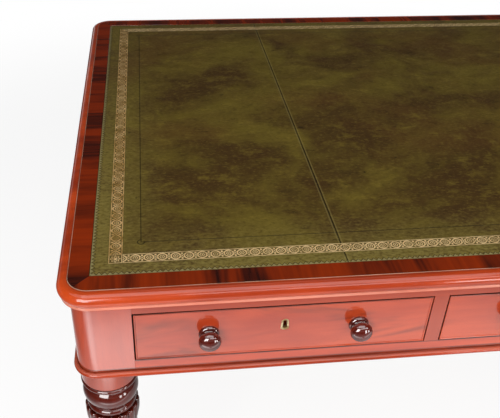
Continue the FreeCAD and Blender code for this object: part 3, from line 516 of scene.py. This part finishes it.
    # the seams, with a pale line on each side, then the dark cut edge, and the gold itself
    seam = (g.x.absolute() - SEAM_X).absolute()
    seam_line = seam.step(0.0004, 0.0016, 1.0, 0.0)
    colour = g.mix((seam - 0.0030).absolute().step(0.0006, 0.0016, 0.45, 0.0), colour, (0.210, 0.165, 0.055))
    colour = g.mix(seam_line * 0.85, colour, (0.012, 0.009, 0.004))
    colour = g.mix(inset.step(0.0, 0.0016, 0.8, 0.0), colour, (0.014, 0.010, 0.005))
    band_tone = within * (0.20 + wear.step(0.35, 0.65) * 0.22)
    colour = g.mix(band_tone, colour, (0.120, 0.066, 0.019))
    leaf_tone = g.mix(wear.step(0.35, 0.7), (0.55, 0.30, 0.090), (0.90, 0.62, 0.29))
    # painted highlight: the gold on the front and back runs is made brighter than on the sides
    leaf_tone = g.mix(along_front * 0.6, leaf_tone, (1.0, 0.76, 0.40))
    colour = g.mix(gold, colour, leaf_tone)

    pebbles = g.cells(g.vector(g.x, g.y, 0.0), 520.0)
    creases = g.noise(g.vector(g.x * 30.0, g.y * 34.0, 0.0), detail=6.0, roughness=0.65)
    height = pebbles * 0.25 + creases * 1.6 - pressed * 0.9 - gold * 0.45 - seam_line * 1.2
    normal = g.bump(height, 0.00030)
    rough = smear.step(0.3, 0.7, 0.50, 0.60) - gold * 0.16
    return g.finish(colour, rough, normal=normal, Metallic=gold * 0.45, Specular_IOR_Level=0.05)


# The materials

FRIEZE_LIGHT = (0.53, 0.064, 0.0160)
FRIEZE_DARK = (0.32, 0.030, 0.0080)
FRIEZE_SMOKE = (0.150, 0.020, 0.0080)
TURNED_LIGHT = (0.110, 0.0100, 0.0035)
TURNED_DARK = (0.035, 0.0040, 0.0020)
# A pale tone for rubbed edges that also stands for painted highlights on the fillet and the foot's bead.
WEAR_AND_HIGHLIGHT_PALE = (0.80, 0.38, 0.28)
# Dark brown for painted shade: a band in the corner just above the foot moulding, lines in the gaps round the
# drawers, and the fillet over the foot's bead.
PAINTED_SHADE_BROWN = (0.060, 0.0090, 0.0035)
SHADE_ABOVE_FOOT = ((FOOT_HIGH - 0.0010, FOOT_HIGH + 0.0065, 0.78, PAINTED_SHADE_BROWN),)
# A dark tone for painted shade on the legs' collars, under the foot moulding.
COLLAR_PAINTED_SHADE = (0.22, 0.028, 0.010)
DRAWER_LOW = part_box("front_left_drawer_face")[0].z
DRAWER_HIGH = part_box("front_left_drawer_face")[1].z
DRAWER_SKIN = abs(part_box("front_left_drawer_face")[0].y) - 0.0020


def darker(colour, share):
    return tuple(part * share for part in colour)


# The bottom rails get a painted shadow line just under the drawers, and the painted shade above the foot
# moulding.
mahogany_x = wood("mahogany_along_x", "x", FRIEZE_LIGHT, FRIEZE_DARK,
                  wear_and_painted_light=SHADE_ABOVE_FOOT + ((DRAWER_LOW - 0.0035, DRAWER_LOW - 0.0003, 0.9, PAINTED_SHADE_BROWN),))
mahogany_y = wood("mahogany_along_y", "y", FRIEZE_LIGHT, FRIEZE_DARK, wear_and_painted_light=SHADE_ABOVE_FOOT)
# Darker copies of the frieze's wood, for the top rails under the top's overhang and for the drawer dividers:
# painted shade.
shaded_x = wood("shaded_mahogany_along_x", "x", darker(FRIEZE_LIGHT, 0.74), darker(FRIEZE_DARK, 0.74))
shaded_z = wood("shaded_mahogany_upright", "z", darker(FRIEZE_LIGHT, 0.70), darker(FRIEZE_DARK, 0.66),
                streak=0.8)
# The fillet under the nose gets a pale line, partly wear and partly a painted highlight.
moulding_wood = wood("moulding_mahogany", "x", (0.62, 0.076, 0.012), (0.25, 0.022, 0.0045), coat=1.5,
                     gloss=0.09, wear_and_painted_light=((EDGE_LOW + 0.0006, 0.7450, 0.50, WEAR_AND_HIGHLIGHT_PALE),))
# The foot's bead gets a pale line near its top, partly wear and partly a painted highlight, and painted shade
# on the fillet above it.
foot_wood = wood("foot_moulding_mahogany", "x", (0.46, 0.050, 0.009), (0.22, 0.019, 0.0040), streak=0.9,
                 coat=1.4, gloss=0.08, wear_and_painted_light=((0.5838, 0.5862, 0.15, WEAR_AND_HIGHLIGHT_PALE),
                                             (0.5860, FOOT_HIGH + 0.001, 0.8, PAINTED_SHADE_BROWN)))
# Painted shade at the drawer fronts' top and bottom edges, standing for the gaps, kept to the front skin.
drawer_front = wood("figured_drawer_front", "x", (0.50, 0.064, 0.015), (0.29, 0.027, 0.0075), flame=0.9,
                    tint=FRIEZE_SMOKE, coat=1.65, stripes_from=DRAWER_SKIN,
                    wear_and_painted_light=((DRAWER_LOW - 0.0010, DRAWER_LOW + 0.0016, 0.85, PAINTED_SHADE_BROWN),
                          (DRAWER_HIGH - 0.0014, DRAWER_HIGH + 0.0010, 0.85, PAINTED_SHADE_BROWN)))
# The leg heads share the painted shade above the foot moulding, and the collar below the foot moulding is
# painted darker, as shade.
leg_head_wood = wood("leg_head_mahogany", "z", (0.46, 0.054, 0.014), (0.29, 0.027, 0.0075), streak=0.8,
                     coat=2.0, wear_and_painted_light=SHADE_ABOVE_FOOT + ((0.5300, FOOT_LOW + 0.0060, 0.50, COLLAR_PAINTED_SHADE),))
turned_wood = wood("turned_mahogany", "z", TURNED_LIGHT, TURNED_DARK, streak=0.8, coat=1.75, gloss=0.07)
knob_wood = wood("knob_rosewood", "y", (0.110, 0.0090, 0.0035), (0.034, 0.0040, 0.0022), streak=0.9, coat=2.0,
                 gloss=0.07)
band_long = crossband_wood("crossband_of_long_sides", True)
band_short = crossband_wood("crossband_of_short_sides", False)
# bare wood, painted dark as the shade inside the gaps beside the legs
bare_cheek_painted_shade = wood("unpolished_cheek_painted_shade", "z", (0.10, 0.022, 0.0100), (0.05, 0.0120, 0.0060), polish=0.0,
                  roughness=0.7)
oak_x = wood("drawer_oak_along_x", "x", (0.44, 0.27, 0.125), (0.24, 0.13, 0.055), polish=0.0, roughness=0.58)
oak_y = wood("drawer_oak_along_y", "y", (0.46, 0.285, 0.135), (0.25, 0.14, 0.060), polish=0.0, roughness=0.58)
carcase_x = wood("carcase_wood_along_x", "x", (0.30, 0.150, 0.068), (0.15, 0.066, 0.028), polish=0.0,
                 roughness=0.62)
carcase_y = wood("carcase_wood_along_y", "y", (0.32, 0.165, 0.075), (0.16, 0.072, 0.030), polish=0.0,
                 roughness=0.62)
leather = make_leather()
brass = metal("aged_brass", (0.78, 0.53, 0.20), (0.24, 0.125, 0.040), 38.0, 0.20, 0.10)
bright_brass = metal("bright_brass", (0.93, 0.76, 0.46), (0.45, 0.30, 0.13), 60.0, 0.26, 0.02)
iron = metal("dark_iron", (0.20, 0.19, 0.18), (0.075, 0.055, 0.045), 90.0, 0.40, 0.08)

NODE_MATERIALS = {
    "top_board": carcase_x,
    "top_rails": shaded_x,
    "bottom_rails": mahogany_x,
    "end_rails": mahogany_y,
    "drawer_dividers": shaded_z,
    "centre_spine": carcase_x,
    "drawer_runners": carcase_y,
    "top_screws": iron,
}
ENDINGS = {"_knobs": knob_wood, "_lock": bright_brass, "_bolt": brass, "_socket": brass, "_fork": brass,
           "_wheel": brass}
for name, node in NODES.items():
    chosen = NODE_MATERIALS.get(name)
    for ending, material in ENDINGS.items():
        if name.endswith(ending):
            chosen = material
    if chosen:
        for place in node.material_slots:
            place.material = chosen


# The top

def make_edge_moulding():
    """A half-round nose over a small fillet, with a quirk where it meets the border."""
    nose = 0.014
    flat = EDGE_REACH - nose
    fillet = 0.0130
    fillet_top = TOP - 2 * nose + 0.0026
    ease = 0.0007
    round_over = 0.0018
    section = [(0.0, EDGE_LOW), (fillet - ease, EDGE_LOW)]
    section += arc((fillet - ease, EDGE_LOW + ease), ease, -90, 0, 4)
    section += arc((fillet - round_over, fillet_top - round_over), round_over, 0, 90, 7)
    section += arc((flat, TOP - nose), nose, -58, 90, 24)
    section += arc((0.0010, TOP - 0.0009), 0.0009, 90, 180, 4)
    section += [(0.0, TOP - 0.004)]
    shape = Shape()
    shape.add(*ring(section, 20))
    shape.piece("edge_moulding", "desk", [moulding_wood], ["top_edge_moulding"])


def make_crossband():
    """Four strips with mitred ends, hairlines apart."""
    gap = 0.00012
    ease = 0.00035
    inner_x = LEATHER_X + gap
    inner_y = LEATHER_Y + gap
    shape = Shape()
    for slot, half_run, half_side, inner_run, inner_side, turn in (
            (0, HALF_X, HALF_Y, inner_x, inner_y, 0), (1, HALF_Y, HALF_X, inner_y, inner_x, 90)):
        corner = arc((half_run - CORNER, -half_side + CORNER), CORNER - gap, -90, -45, 8)
        outline = corner + [(inner_run, -inner_side)]
        outline += [(-x, y) for x, y in reversed(outline)]
        for extra in (0, 180):
            move = Matrix.Rotation(math.radians(turn + extra), 4, "Z")
            shape.add_mesh(prism(outline, BAND_LOW, TOP, ease, 2), slot, move)
    shape.piece("crossband", "desk", [band_long, band_short], ["crossbanding"])


def make_leather_panels():
    """Three panels whose edges are pared down where they meet."""
    ease = 0.0012
    drop = 0.0007
    for name, low_x, high_x in (("left", -LEATHER_X, -SEAM_X), ("centre", -SEAM_X, SEAM_X),
                                ("right", SEAM_X, LEATHER_X)):
        node = "leather_" + name
        columns = spread(low_x, high_x, ease, 70 if name == "centre" else 36)
        rows = spread(-LEATHER_Y, LEATHER_Y, ease, 90)
        verts = []
        for y in rows:
            for x in columns:
                edge = min(x - low_x, high_x - x, y + LEATHER_Y, LEATHER_Y - y)
                pared = max(0.0, 1 - edge / ease)
                swell = noise.noise(Vector((x * 9, y * 9, 0.3))) * 0.00012
                verts.append((x, y, LEATHER_TOP - 0.00014 + swell - drop * pared * pared))
        count = len(columns)
        faces = [(i * count + j, i * count + j + 1, (i + 1) * count + j + 1, (i + 1) * count + j)
                 for i in range(len(rows) - 1) for j in range(count - 1)]
        rim = ([j for j in range(count)] + [i * count + count - 1 for i in range(1, len(rows))]
               + [(len(rows) - 1) * count + j for j in range(count - 2, -1, -1)]
               + [i * count for i in range(len(rows) - 2, 0, -1)])
        start = len(verts)
        verts += [(verts[index][0], verts[index][1], BAND_LOW) for index in rim]
        total = len(rim)
        for k in range(total):
            after = (k + 1) % total
            faces.append((rim[after], rim[k], start + k, start + after))
        faces.append(tuple(start + k for k in reversed(range(total))))
        shape = Shape()
        shape.add(verts, faces)
        shape.piece("leather_panel_" + name, "desk", [leather], [node])


def spread(low, high, margin, count):
    """Even places between two ends, with a close one beside each end."""
    inside = [low + margin + (high - low - 2 * margin) * i / count for i in range(count + 1)]
    return [low, low + margin * 0.5] + inside + [high - margin * 0.5, high]


# The frieze and the legs

def make_frieze_moulding():
    """A half-round bead with a small fillet over it, where it meets the frieze's face."""
    radius = 0.0050
    centre = FOOT_REACH - radius
    ledge = FOOT_LOW + 2 * radius
    fillet = FOOT_HIGH - ledge
    section = [(0.0, FOOT_LOW), (centre, FOOT_LOW)]
    section += arc((centre, FOOT_LOW + radius), radius, -84, 84, 16)
    section += [(centre, ledge - 0.0003), (fillet, ledge - 0.0003)]
    section += [(fillet, FOOT_HIGH - 0.0002), (fillet - 0.0002, FOOT_HIGH), (0.0, FOOT_HIGH)]
    shape = Shape()
    shape.add(*ring(section, 20))
    shape.piece("frieze_foot_moulding", "desk", [foot_wood], ["frieze_moulding"])


HEAD = 0.0985
LEG_X = HALF_X - HEAD / 2
LEG_Y = HALF_Y - HEAD / 2
LOBES = 18
REEDS = 16
CUP_TOP = 0.461
CUP_FOOT = 0.401
SHAFT_TOP = 0.389
SHAFT_FOOT = 0.1523


def mm(points):
    return [(r * MM, z * MM) for r, z in points]


def cup_radius(radius, level, angle):
    """Lobes that swell to the crest and part into petals at the top."""
    share = max(0.0, min(1.0, (level - CUP_FOOT) / (CUP_TOP - CUP_FOOT)))
    depth = 0.0010 + 0.0046 * share ** 0.8
    phase = (angle * LOBES / (2 * math.pi)) % 1.0
    across = abs(2 * phase - 1)
    bulge = math.sqrt(max(0.0, 1 - (1 - across) ** 2))
    return radius - depth * (1 - bulge)


def reed_radius(radius, level, angle):
    """Reeds, which die away short of the rings."""
    ends = min(level - SHAFT_FOOT, SHAFT_TOP - level)
    depth = 0.0026 * min(1.0, max(0.0, (ends - 0.002) / 0.006)) ** 0.5
    phase = (angle * REEDS / (2 * math.pi)) % 1.0
    return radius - depth * (1 - math.sin(math.pi * phase))


def leg_head(shape):
    """The leg's head: an oblong with one round corner and three eased ones. A narrow strip beside each bend
    keeps the flat faces' reflections straight. The faces that look inwards are left unpolished and painted
    dark, as shade in the gaps beside them."""
    half = HEAD / 2
    ease = 0.0004
    strip = 0.0010

    def beside(point, way):
        x, y, across_x, across_y = point
        return x + way * strip * across_y, y - way * strip * across_x, across_x, across_y

    rim = []
    for side_x, side_y, radius, start, steps in ((1, -1, ease, -90, 3), (1, 1, ease, 0, 3),
                                                 (-1, 1, ease, 90, 3), (-1, -1, CORNER, 180, 24)):
        centre = (side_x * (half - radius), side_y * (half - radius))
        points = arc(centre, radius, start, start + 90, steps)
        bend = [(x, y, (x - centre[0]) / radius, (y - centre[1]) / radius) for x, y in points]
        rim += [beside(bend[0], 1)] + bend + [beside(bend[-1], -1)]
    rows = []
    for level, inset in ((0.0, ease), (0.3 * ease, 0.3 * ease), (ease, 0.0), (strip + ease, 0.0)):
        rows.append((FOOT_LOW + level, inset))
    rows += [(FOOT_LOW + EDGE_LOW - level, inset) for level, inset in reversed(rows)]
    verts = [(x - inset * across_x, y - inset * across_y, level) for level, inset in rows
             for x, y, across_x, across_y in rim]
    count = len(rim)
    last = (len(rows) - 1) * count
    polished = []
    bare = [tuple(reversed(range(count))), tuple(range(last, last + count))]
    for i in range(len(rows) - 1):
        for j in range(count):
            after = (j + 1) % count
            inner = any(min(rim[j][axis], rim[after][axis]) > half - ease for axis in (0, 1))
            face = (i * count + j, i * count + after, (i + 1) * count + after, (i + 1) * count + j)
            (bare if inner else polished).append(face)
    shape.add(verts, polished, 0)
    for face in bare:
        shape.faces.append(list(face))
        shape.slots.append(2)
        shape.rounded.append(True)


def make_leg_shape():
    """The front left leg about its own axis."""
    shape = Shape()
    leg_head(shape)
    collar = mm([(49.25, FOOT_LOW / MM + 0.2), (49.25, 539.6)] + arc((48.45, 539.2), 0.8, 0, -90, 4)
                + [(44.5, 538.4), (44.5, 535.0)])
    shape.add(*lathe(collar, 96), 0)
    upper = mm([(43.0, 539.0), (44.5, 538.6), (44.5, 536.2)] + bead(46.0, 50.5, 536.0, 9.0, 14)
               + [(44.5, 526.8), (44.5, 524.4), (43.5, 524.0)] + bead(40.0, 49.8, 524.0, 45.0, 26)
               + [(36.5, 478.8), (36.0, 477.2)] + bead(36.5, 44.6, 477.0, 16.0, 16)
               + [(36.5, 460.5), (36.0, 455.0)])
    shape.add(*lathe(upper, 128), 1)
    cup = [(36.0, 459.0), (43.5, 459.6), (46.0, 460.8), (47.6, 461.0), (48.7, 460.0), (49.3, 458.0),
           (49.5, 455.0), (49.5, 450.0), (49.4, 445.0), (49.1, 440.0), (48.6, 435.0), (47.8, 430.0),
           (46.8, 425.0), (45.6, 420.0), (44.3, 415.0), (42.9, 410.0), (41.6, 406.0), (40.4, 402.6),
           (39.6, 401.0), (38.0, 400.4)]
    shape.add(*lathe(mm(cup), LOBES * 14, cup_radius), 1)
    ring_under = mm([(37.0, 402.0), (39.0, 401.2)] + bead(39.0, 43.0, 401.0, 12.0, 12) + [(37.5, 388.6)])
    shape.add(*lathe(ring_under, 96), 1)
    length = 236.7
    top_radius, foot_radius = 38.0, 27.0
    near_ring = (0, 1.5, 3, 4.5, 6, 8, 12)
    plain = length - 2 * near_ring[-1]
    levels = list(near_ring) + [near_ring[-1] + plain * i / 14 for i in range(1, 14)]
    levels += [length - back for back in reversed(near_ring)]
    shaft = []
    for down in levels:
        share = down / length
        swell = math.sin(math.pi * share) * 0.6
        shaft.append((top_radius + (foot_radius - top_radius) * share + swell, 389.0 - down))
    shape.add(*lathe(mm([(34.0, 389.4)] + shaft + [(24.0, 151.9)]), REEDS * 14, reed_radius), 1)
    lower = mm([(26.0, 152.8), (28.0, 152.4)] + bead(28.0, 32.0, 152.3, 11.0, 12)
               + [(22.4, 141.0), (22.0, 139.5), (22.0, 132.5)] + bead(22.4, 30.0, 131.3, 34.0, 20)
               + [(22.0, 97.0), (22.0, 88.4), (22.8, 88.2), (18.8, 50.4)])
    shape.add(*lathe(lower, 96), 1)
    return shape


def make_legs():
    pattern = make_leg_shape()
    for end, side_y in (("front", 1), ("back", -1)):
        for side, side_x in (("left", 1), ("right", -1)):
            move = Matrix.Translation((-side_x * LEG_X, -side_y * LEG_Y, 0)) @ Matrix.Diagonal(
                (side_x, side_y, 1, 1))
            shape = Shape()
            shape.add(pattern.verts, pattern.faces, 0, move)
            shape.slots = list(pattern.slots)
            shape.piece("turned_leg_%s_%s" % (end, side), "desk", [leg_head_wood, turned_wood, bare_cheek_painted_shade],
                        ["leg_%s_%s" % (end, side)])


# The drawers

def bead_ring(low_x, high_x, low_z, high_z, front, depth, side_y):
    """A cock bead with mitred corners, round nosed, let round the edge of a drawer's front. Known fault: its
    faces are wound inwards."""
    width = 0.003
    radius = width / 2
    section = [(0.0, front + depth), (0.0, front + radius)]
    for angle in range(15, 180, 15):
        turned = math.radians(angle)
        section.append((radius - radius * math.cos(turned), front + radius - radius * math.sin(turned)))
    section += [(width, front + radius), (width, front + depth)]
    rows = []
    for x, z, in_x, in_z in ((low_x, low_z, 1, 1), (high_x, low_z, -1, 1), (high_x, high_z, -1, -1),
                             (low_x, high_z, 1, -1)):
        rows.append([(x + in_x * inward, side_y * y, z + in_z * inward) for inward, y in section])
    verts, faces = closed_rows(rows)
    if side_y > 0:
        faces = [tuple(reversed(face)) for face in faces]
    return verts, faces


def loose_board(node):
    """A copy of the largest loose part of a node's mesh, once touching vertices are merged. Known fault: the
    solids of a drawer's face touch, so all five are kept, and the beads and strips coincide with them. The
    edges of an open drawer's front render black."""
    bm = bmesh.new()
    bm.from_mesh(node.data)
    bmesh.ops.remove_doubles(bm, verts=bm.verts[:], dist=1e-6)
    left = set(bm.verts)
    largest = []
    while left:
        start = left.pop()
        found, edge_of = [start], [start]
        while edge_of:
            vert = edge_of.pop()
            for edge in vert.link_edges:
                other = edge.other_vert(vert)
                if other in left:
                    left.discard(other)
                    found.append(other)
                    edge_of.append(other)
        if len(found) > len(largest):
            largest = found
    keep = set(largest)
    bmesh.ops.delete(bm, geom=[vert for vert in bm.verts if vert not in keep], context="VERTS")
    return bm


def make_drawer(end, column):
    """The front with its beads, and the box behind it with its dovetails."""
    body = "%s_%s_drawer" % (end, column)
    side_y = -1 if end == "front" else 1
    low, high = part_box(body + "_face")
    lock_low, lock_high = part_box(body + "_lock")
    front = -max(abs(low.y), abs(high.y))
    back = -min(abs(low.y), abs(high.y))
    bead_depth = 0.0090
    edge = 0.003
    shape = Shape()
    shape.add_mesh(loose_board(NODES[body + "_face"]), rounded=False)
    shape.add(*bead_ring(low.x, high.x, low.z, high.z, front, bead_depth, -side_y))
    near = front + bead_depth
    strips = (((low.x, low.z), (low.x + edge, high.z)), ((high.x - edge, low.z), (high.x, high.z)),
              ((low.x + edge, low.z), (high.x - edge, low.z + edge)),
              ((low.x + edge, high.z - edge), (lock_low.x - 0.0002, high.z)),
              ((lock_high.x + 0.0002, high.z - edge), (high.x - edge, high.z)))
    for (x0, z0), (x1, z1) in strips:
        ys = sorted((-side_y * near, -side_y * back))
        shape.add_mesh(bevelled((x0, ys[0], z0), (x1, ys[1], z1), 0.00015, 1))
    shape.piece(body + "_front", body, [drawer_front], [body + "_face"])

    box_low, box_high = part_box(body + "_box")
    inner = min(abs(box_low.y), abs(box_high.y))
    thick = 0.010
    box = Shape()

    def place(a, b):
        ys = sorted((side_y * a[1], side_y * b[1]))
        return (a[0], ys[0], a[2]), (b[0], ys[1], b[2])

    outer_y = -back
    for x0, x1 in ((box_low.x, box_low.x + thick), (box_high.x - thick, box_high.x)):
        box.add_mesh(bevelled(*place((x0, inner, box_low.z), (x1, outer_y, box_high.z)), 0.0007, 2), 1)
    box.add_mesh(bevelled(*place((box_low.x + thick, inner, box_low.z + 0.015),
                                 (box_high.x - thick, inner + 0.010, box_high.z - 0.004)), 0.0006, 2), 0)
    bottom_low = (box_low.x + thick - 0.004, inner, box_low.z + 0.009)
    bottom_high = (box_high.x - thick + 0.004, outer_y + 0.004, box_low.z + 0.015)
    box.add_mesh(bevelled(*place(bottom_low, bottom_high), 0.0003, 1), 0)
    # the tails, as thin plates over the front's edge
    tails = 3
    pitch = (box_high.z - box_low.z) / tails
    narrow, wide = pitch * 0.24, pitch * 0.40
    tip = outer_y + 0.0125
    corners = ((outer_y, -narrow), (tip, -wide), (tip, wide), (outer_y, narrow))
    plate = ((0, 1, 2, 3), (7, 6, 5, 4), (0, 4, 5, 1), (1, 5, 6, 2), (2, 6, 7, 3), (3, 7, 4, 0))
    for face_x, out in ((box_low.x, -1), (box_high.x, 1)):
        for index in range(tails):
            middle = box_low.z + pitch * (index + 0.5)
            points = []
            for deep in (0.00006, -0.0004):
                points += [(face_x + out * deep, side_y * y, middle + z) for y, z in corners]
            flipped = out * side_y > 0
            box.add(points, [tuple(reversed(face)) if flipped else face for face in plate], 1)
    box.piece(body + "_case", body, [oak_x, oak_y], [body + "_box"])


make_edge_moulding()
make_crossband()
make_leather_panels()
make_frieze_moulding()
make_legs()
for end in ("front", "back"):
    for column in ("left", "centre", "right"):
        make_drawer(end, column)


# Floor, world, lamps and camera. The camera's numbers were solved from the photograph.

CAMERA_PLACE = (-0.7316, -1.40327, 1.48649)
CAMERA_YAW, CAMERA_PITCH, CAMERA_ROLL = 7.27978545, 34.14301979, 1.64239857
CAMERA_LENS = 49.503
CAMERA_SHIFT = (0.04216, -0.02274)


def make_floor():
    """A wide pale floor, which the camera sees plain white in the distance. Mirrored rays see another one,
    set by the photograph's reflections. It is dim near the desk and dark far off, and between them a band
    before and behind the desk is brighter than white, most of all off the left corners."""
    mesh = bpy.data.meshes.new("floor")
    steps = 96
    radius = 30.0
    points = [(radius * math.cos(2 * math.pi * i / steps), radius * math.sin(2 * math.pi * i / steps), 0.0)
              for i in range(steps)]
    mesh.from_pydata(points, [], [tuple(range(steps))])
    g = Graph("pale_floor")
    away = (g.x * g.x + g.y * g.y).math("POWER", 0.5)
    beyond_x = (g.x.absolute() - HALF_X).step(0.53, 0.62, 1.0, 0.05)
    front = g.y.absolute() - HALF_Y
    beyond_y = front.step(0.60, 0.93, 0.80, 0.0) * front.step(0.40, 0.55, 0.30, 1.0)
    path = g.add("ShaderNodeLightPath")
    mirrored = Value(g, path.outputs["Is Glossy Ray"])
    scattered = Value(g, path.outputs["Is Diffuse Ray"])
    left = g.x.step(-0.85, -0.40, 2.55, 1.75) + g.x.step(-1.02, -0.88, 0.95, 0.0)
    left = left * g.x.step(-1.40, -1.15, 0.36, 1.0)
    reach = (1 - mirrored * (1 - left * beyond_x * beyond_y)) * (1 - scattered * 0.35)
    diffuse = g.add("ShaderNodeBsdfDiffuse")
    diffuse.inputs["Color"].default_value = (0.16, 0.16, 0.16, 1.0)
    glow = g.add("ShaderNodeEmission")
    g.join(glow.inputs["Strength"], reach * 0.87)
    both = g.add("ShaderNodeAddShader")
    plain = g.add("ShaderNodeEmission")
    g.join(plain.inputs["Strength"], reach)
    far = g.add("ShaderNodeMixShader")
    output = g.add("ShaderNodeOutputMaterial")
    g.tree.links.new(diffuse.outputs[0], both.inputs[0])
    g.tree.links.new(glow.outputs[0], both.inputs[1])
    g.join(far.inputs[0], away.step(1.7, 3.2))
    g.tree.links.new(both.outputs[0], far.inputs[1])
    g.tree.links.new(plain.outputs[0], far.inputs[2])
    g.tree.links.new(far.outputs[0], output.inputs[0])
    mesh.materials.append(g.material)
    floor = bpy.data.objects.new("floor", mesh)
    bpy.context.scene.collection.objects.link(floor)


def make_world():
    """The camera sees plain white. Every other ray sees white at the horizon behind the desk, and dimmer
    above it, far to the left and behind the camera."""
    world = bpy.data.worlds.new("studio")
    bpy.context.scene.world = world
    world.use_nodes = True
    tree = world.node_tree
    tree.nodes.clear()
    place = tree.nodes.new("ShaderNodeTexCoord")
    split = tree.nodes.new("ShaderNodeSeparateXYZ")
    tree.links.new(place.outputs["Generated"], split.inputs[0])
    path = tree.nodes.new("ShaderNodeLightPath")
    level = None
    for axis, *ends in ((2, 0.06, 0.20, 1.0, 0.03), (1, -0.15, 0.35, 0.15, 1.0),
                        (0, -0.80, -0.10, 0.45, 1.0)):
        blend = tree.nodes.new("ShaderNodeMapRange")
        blend.interpolation_type = "SMOOTHSTEP"
        for key, number in zip(("From Min", "From Max", "To Min", "To Max"), ends):
            blend.inputs[key].default_value = number
        tree.links.new(split.outputs[axis], blend.inputs["Value"])
        if level is None:
            level = blend.outputs["Result"]
        else:
            both = tree.nodes.new("ShaderNodeMath")
            both.operation = "MULTIPLY"
            tree.links.new(level, both.inputs[0])
            tree.links.new(blend.outputs["Result"], both.inputs[1])
            level = both.outputs[0]
    brighter = tree.nodes.new("ShaderNodeMath")
    brighter.operation = "MAXIMUM"
    tree.links.new(level, brighter.inputs[0])
    tree.links.new(path.outputs["Is Camera Ray"], brighter.inputs[1])
    background = tree.nodes.new("ShaderNodeBackground")
    background.inputs["Color"].default_value = (1.0, 1.0, 1.0, 1.0)
    output = tree.nodes.new("ShaderNodeOutputWorld")
    tree.links.new(brighter.outputs[0], background.inputs["Strength"])
    tree.links.new(background.outputs[0], output.inputs[0])


def add_lamp(name, turn, lift, distance, width, height, watts):
    """An area lamp aimed at the desk. Turn is from the front towards the left, lift from the floor."""
    lamp = bpy.data.lights.new(name, "AREA")
    lamp.shape = "RECTANGLE"
    lamp.size = width
    lamp.size_y = height
    lamp.energy = watts
    thing = bpy.data.objects.new(name, lamp)
    bpy.context.scene.collection.objects.link(thing)
    turn, lift = math.radians(turn), math.radians(lift)
    aim = Vector((0.0, 0.0, 0.60))
    away = Vector((-math.sin(turn) * math.cos(lift), -math.cos(turn) * math.cos(lift), math.sin(lift)))
    thing.location = aim + away * distance
    thing.rotation_euler = away.to_track_quat("Z", "Y").to_euler()
    thing.visible_camera = False


def make_camera():
    """The photograph's view: standing before the front left corner and looking down across the desk."""
    yaw, pitch, roll = (math.radians(angle) for angle in (CAMERA_YAW, CAMERA_PITCH, CAMERA_ROLL))
    forward = Vector((math.sin(yaw) * math.cos(pitch), math.cos(yaw) * math.cos(pitch), -math.sin(pitch)))
    level = Vector((math.cos(yaw), -math.sin(yaw), 0.0))
    up = level.cross(forward)
    right = level * math.cos(roll) + up * math.sin(roll)
    up = up * math.cos(roll) - level * math.sin(roll)
    camera = bpy.data.cameras.new("camera")
    camera.sensor_width = 36.0
    camera.lens = CAMERA_LENS
    camera.shift_x, camera.shift_y = CAMERA_SHIFT
    thing = bpy.data.objects.new("camera", camera)
    bpy.context.scene.collection.objects.link(thing)
    turned = Matrix((right, up, -forward)).transposed().to_4x4()
    thing.matrix_world = Matrix.Translation(CAMERA_PLACE) @ turned
    bpy.context.scene.camera = thing


make_floor()
make_world()
add_lamp("front_wall", -8, 28, 3.2, 2.2, 0.7, 16)
add_lamp("left_window", 32, 15, 3.95, 1.8, 1.7, 94)
add_lamp("right_window_a", -18, -3.6, 3.1, 0.42, 0.80, 9)
add_lamp("right_window_b", -35, -4, 2.9, 0.38, 0.75, 9)
add_lamp("right_high_window", -39, 28, 2.95, 0.40, 0.50, 6)
add_lamp("high_left_softbox", 62, 46, 3.0, 1.4, 1.2, 7)
add_lamp("top_softbox", 10, 60, 3.0, 3.0, 2.0, 44)
add_lamp("back_softbox", 180, 72, 3.6, 2.0, 1.0, 4)
make_camera()
bpy.context.scene.view_settings.view_transform = "Standard"
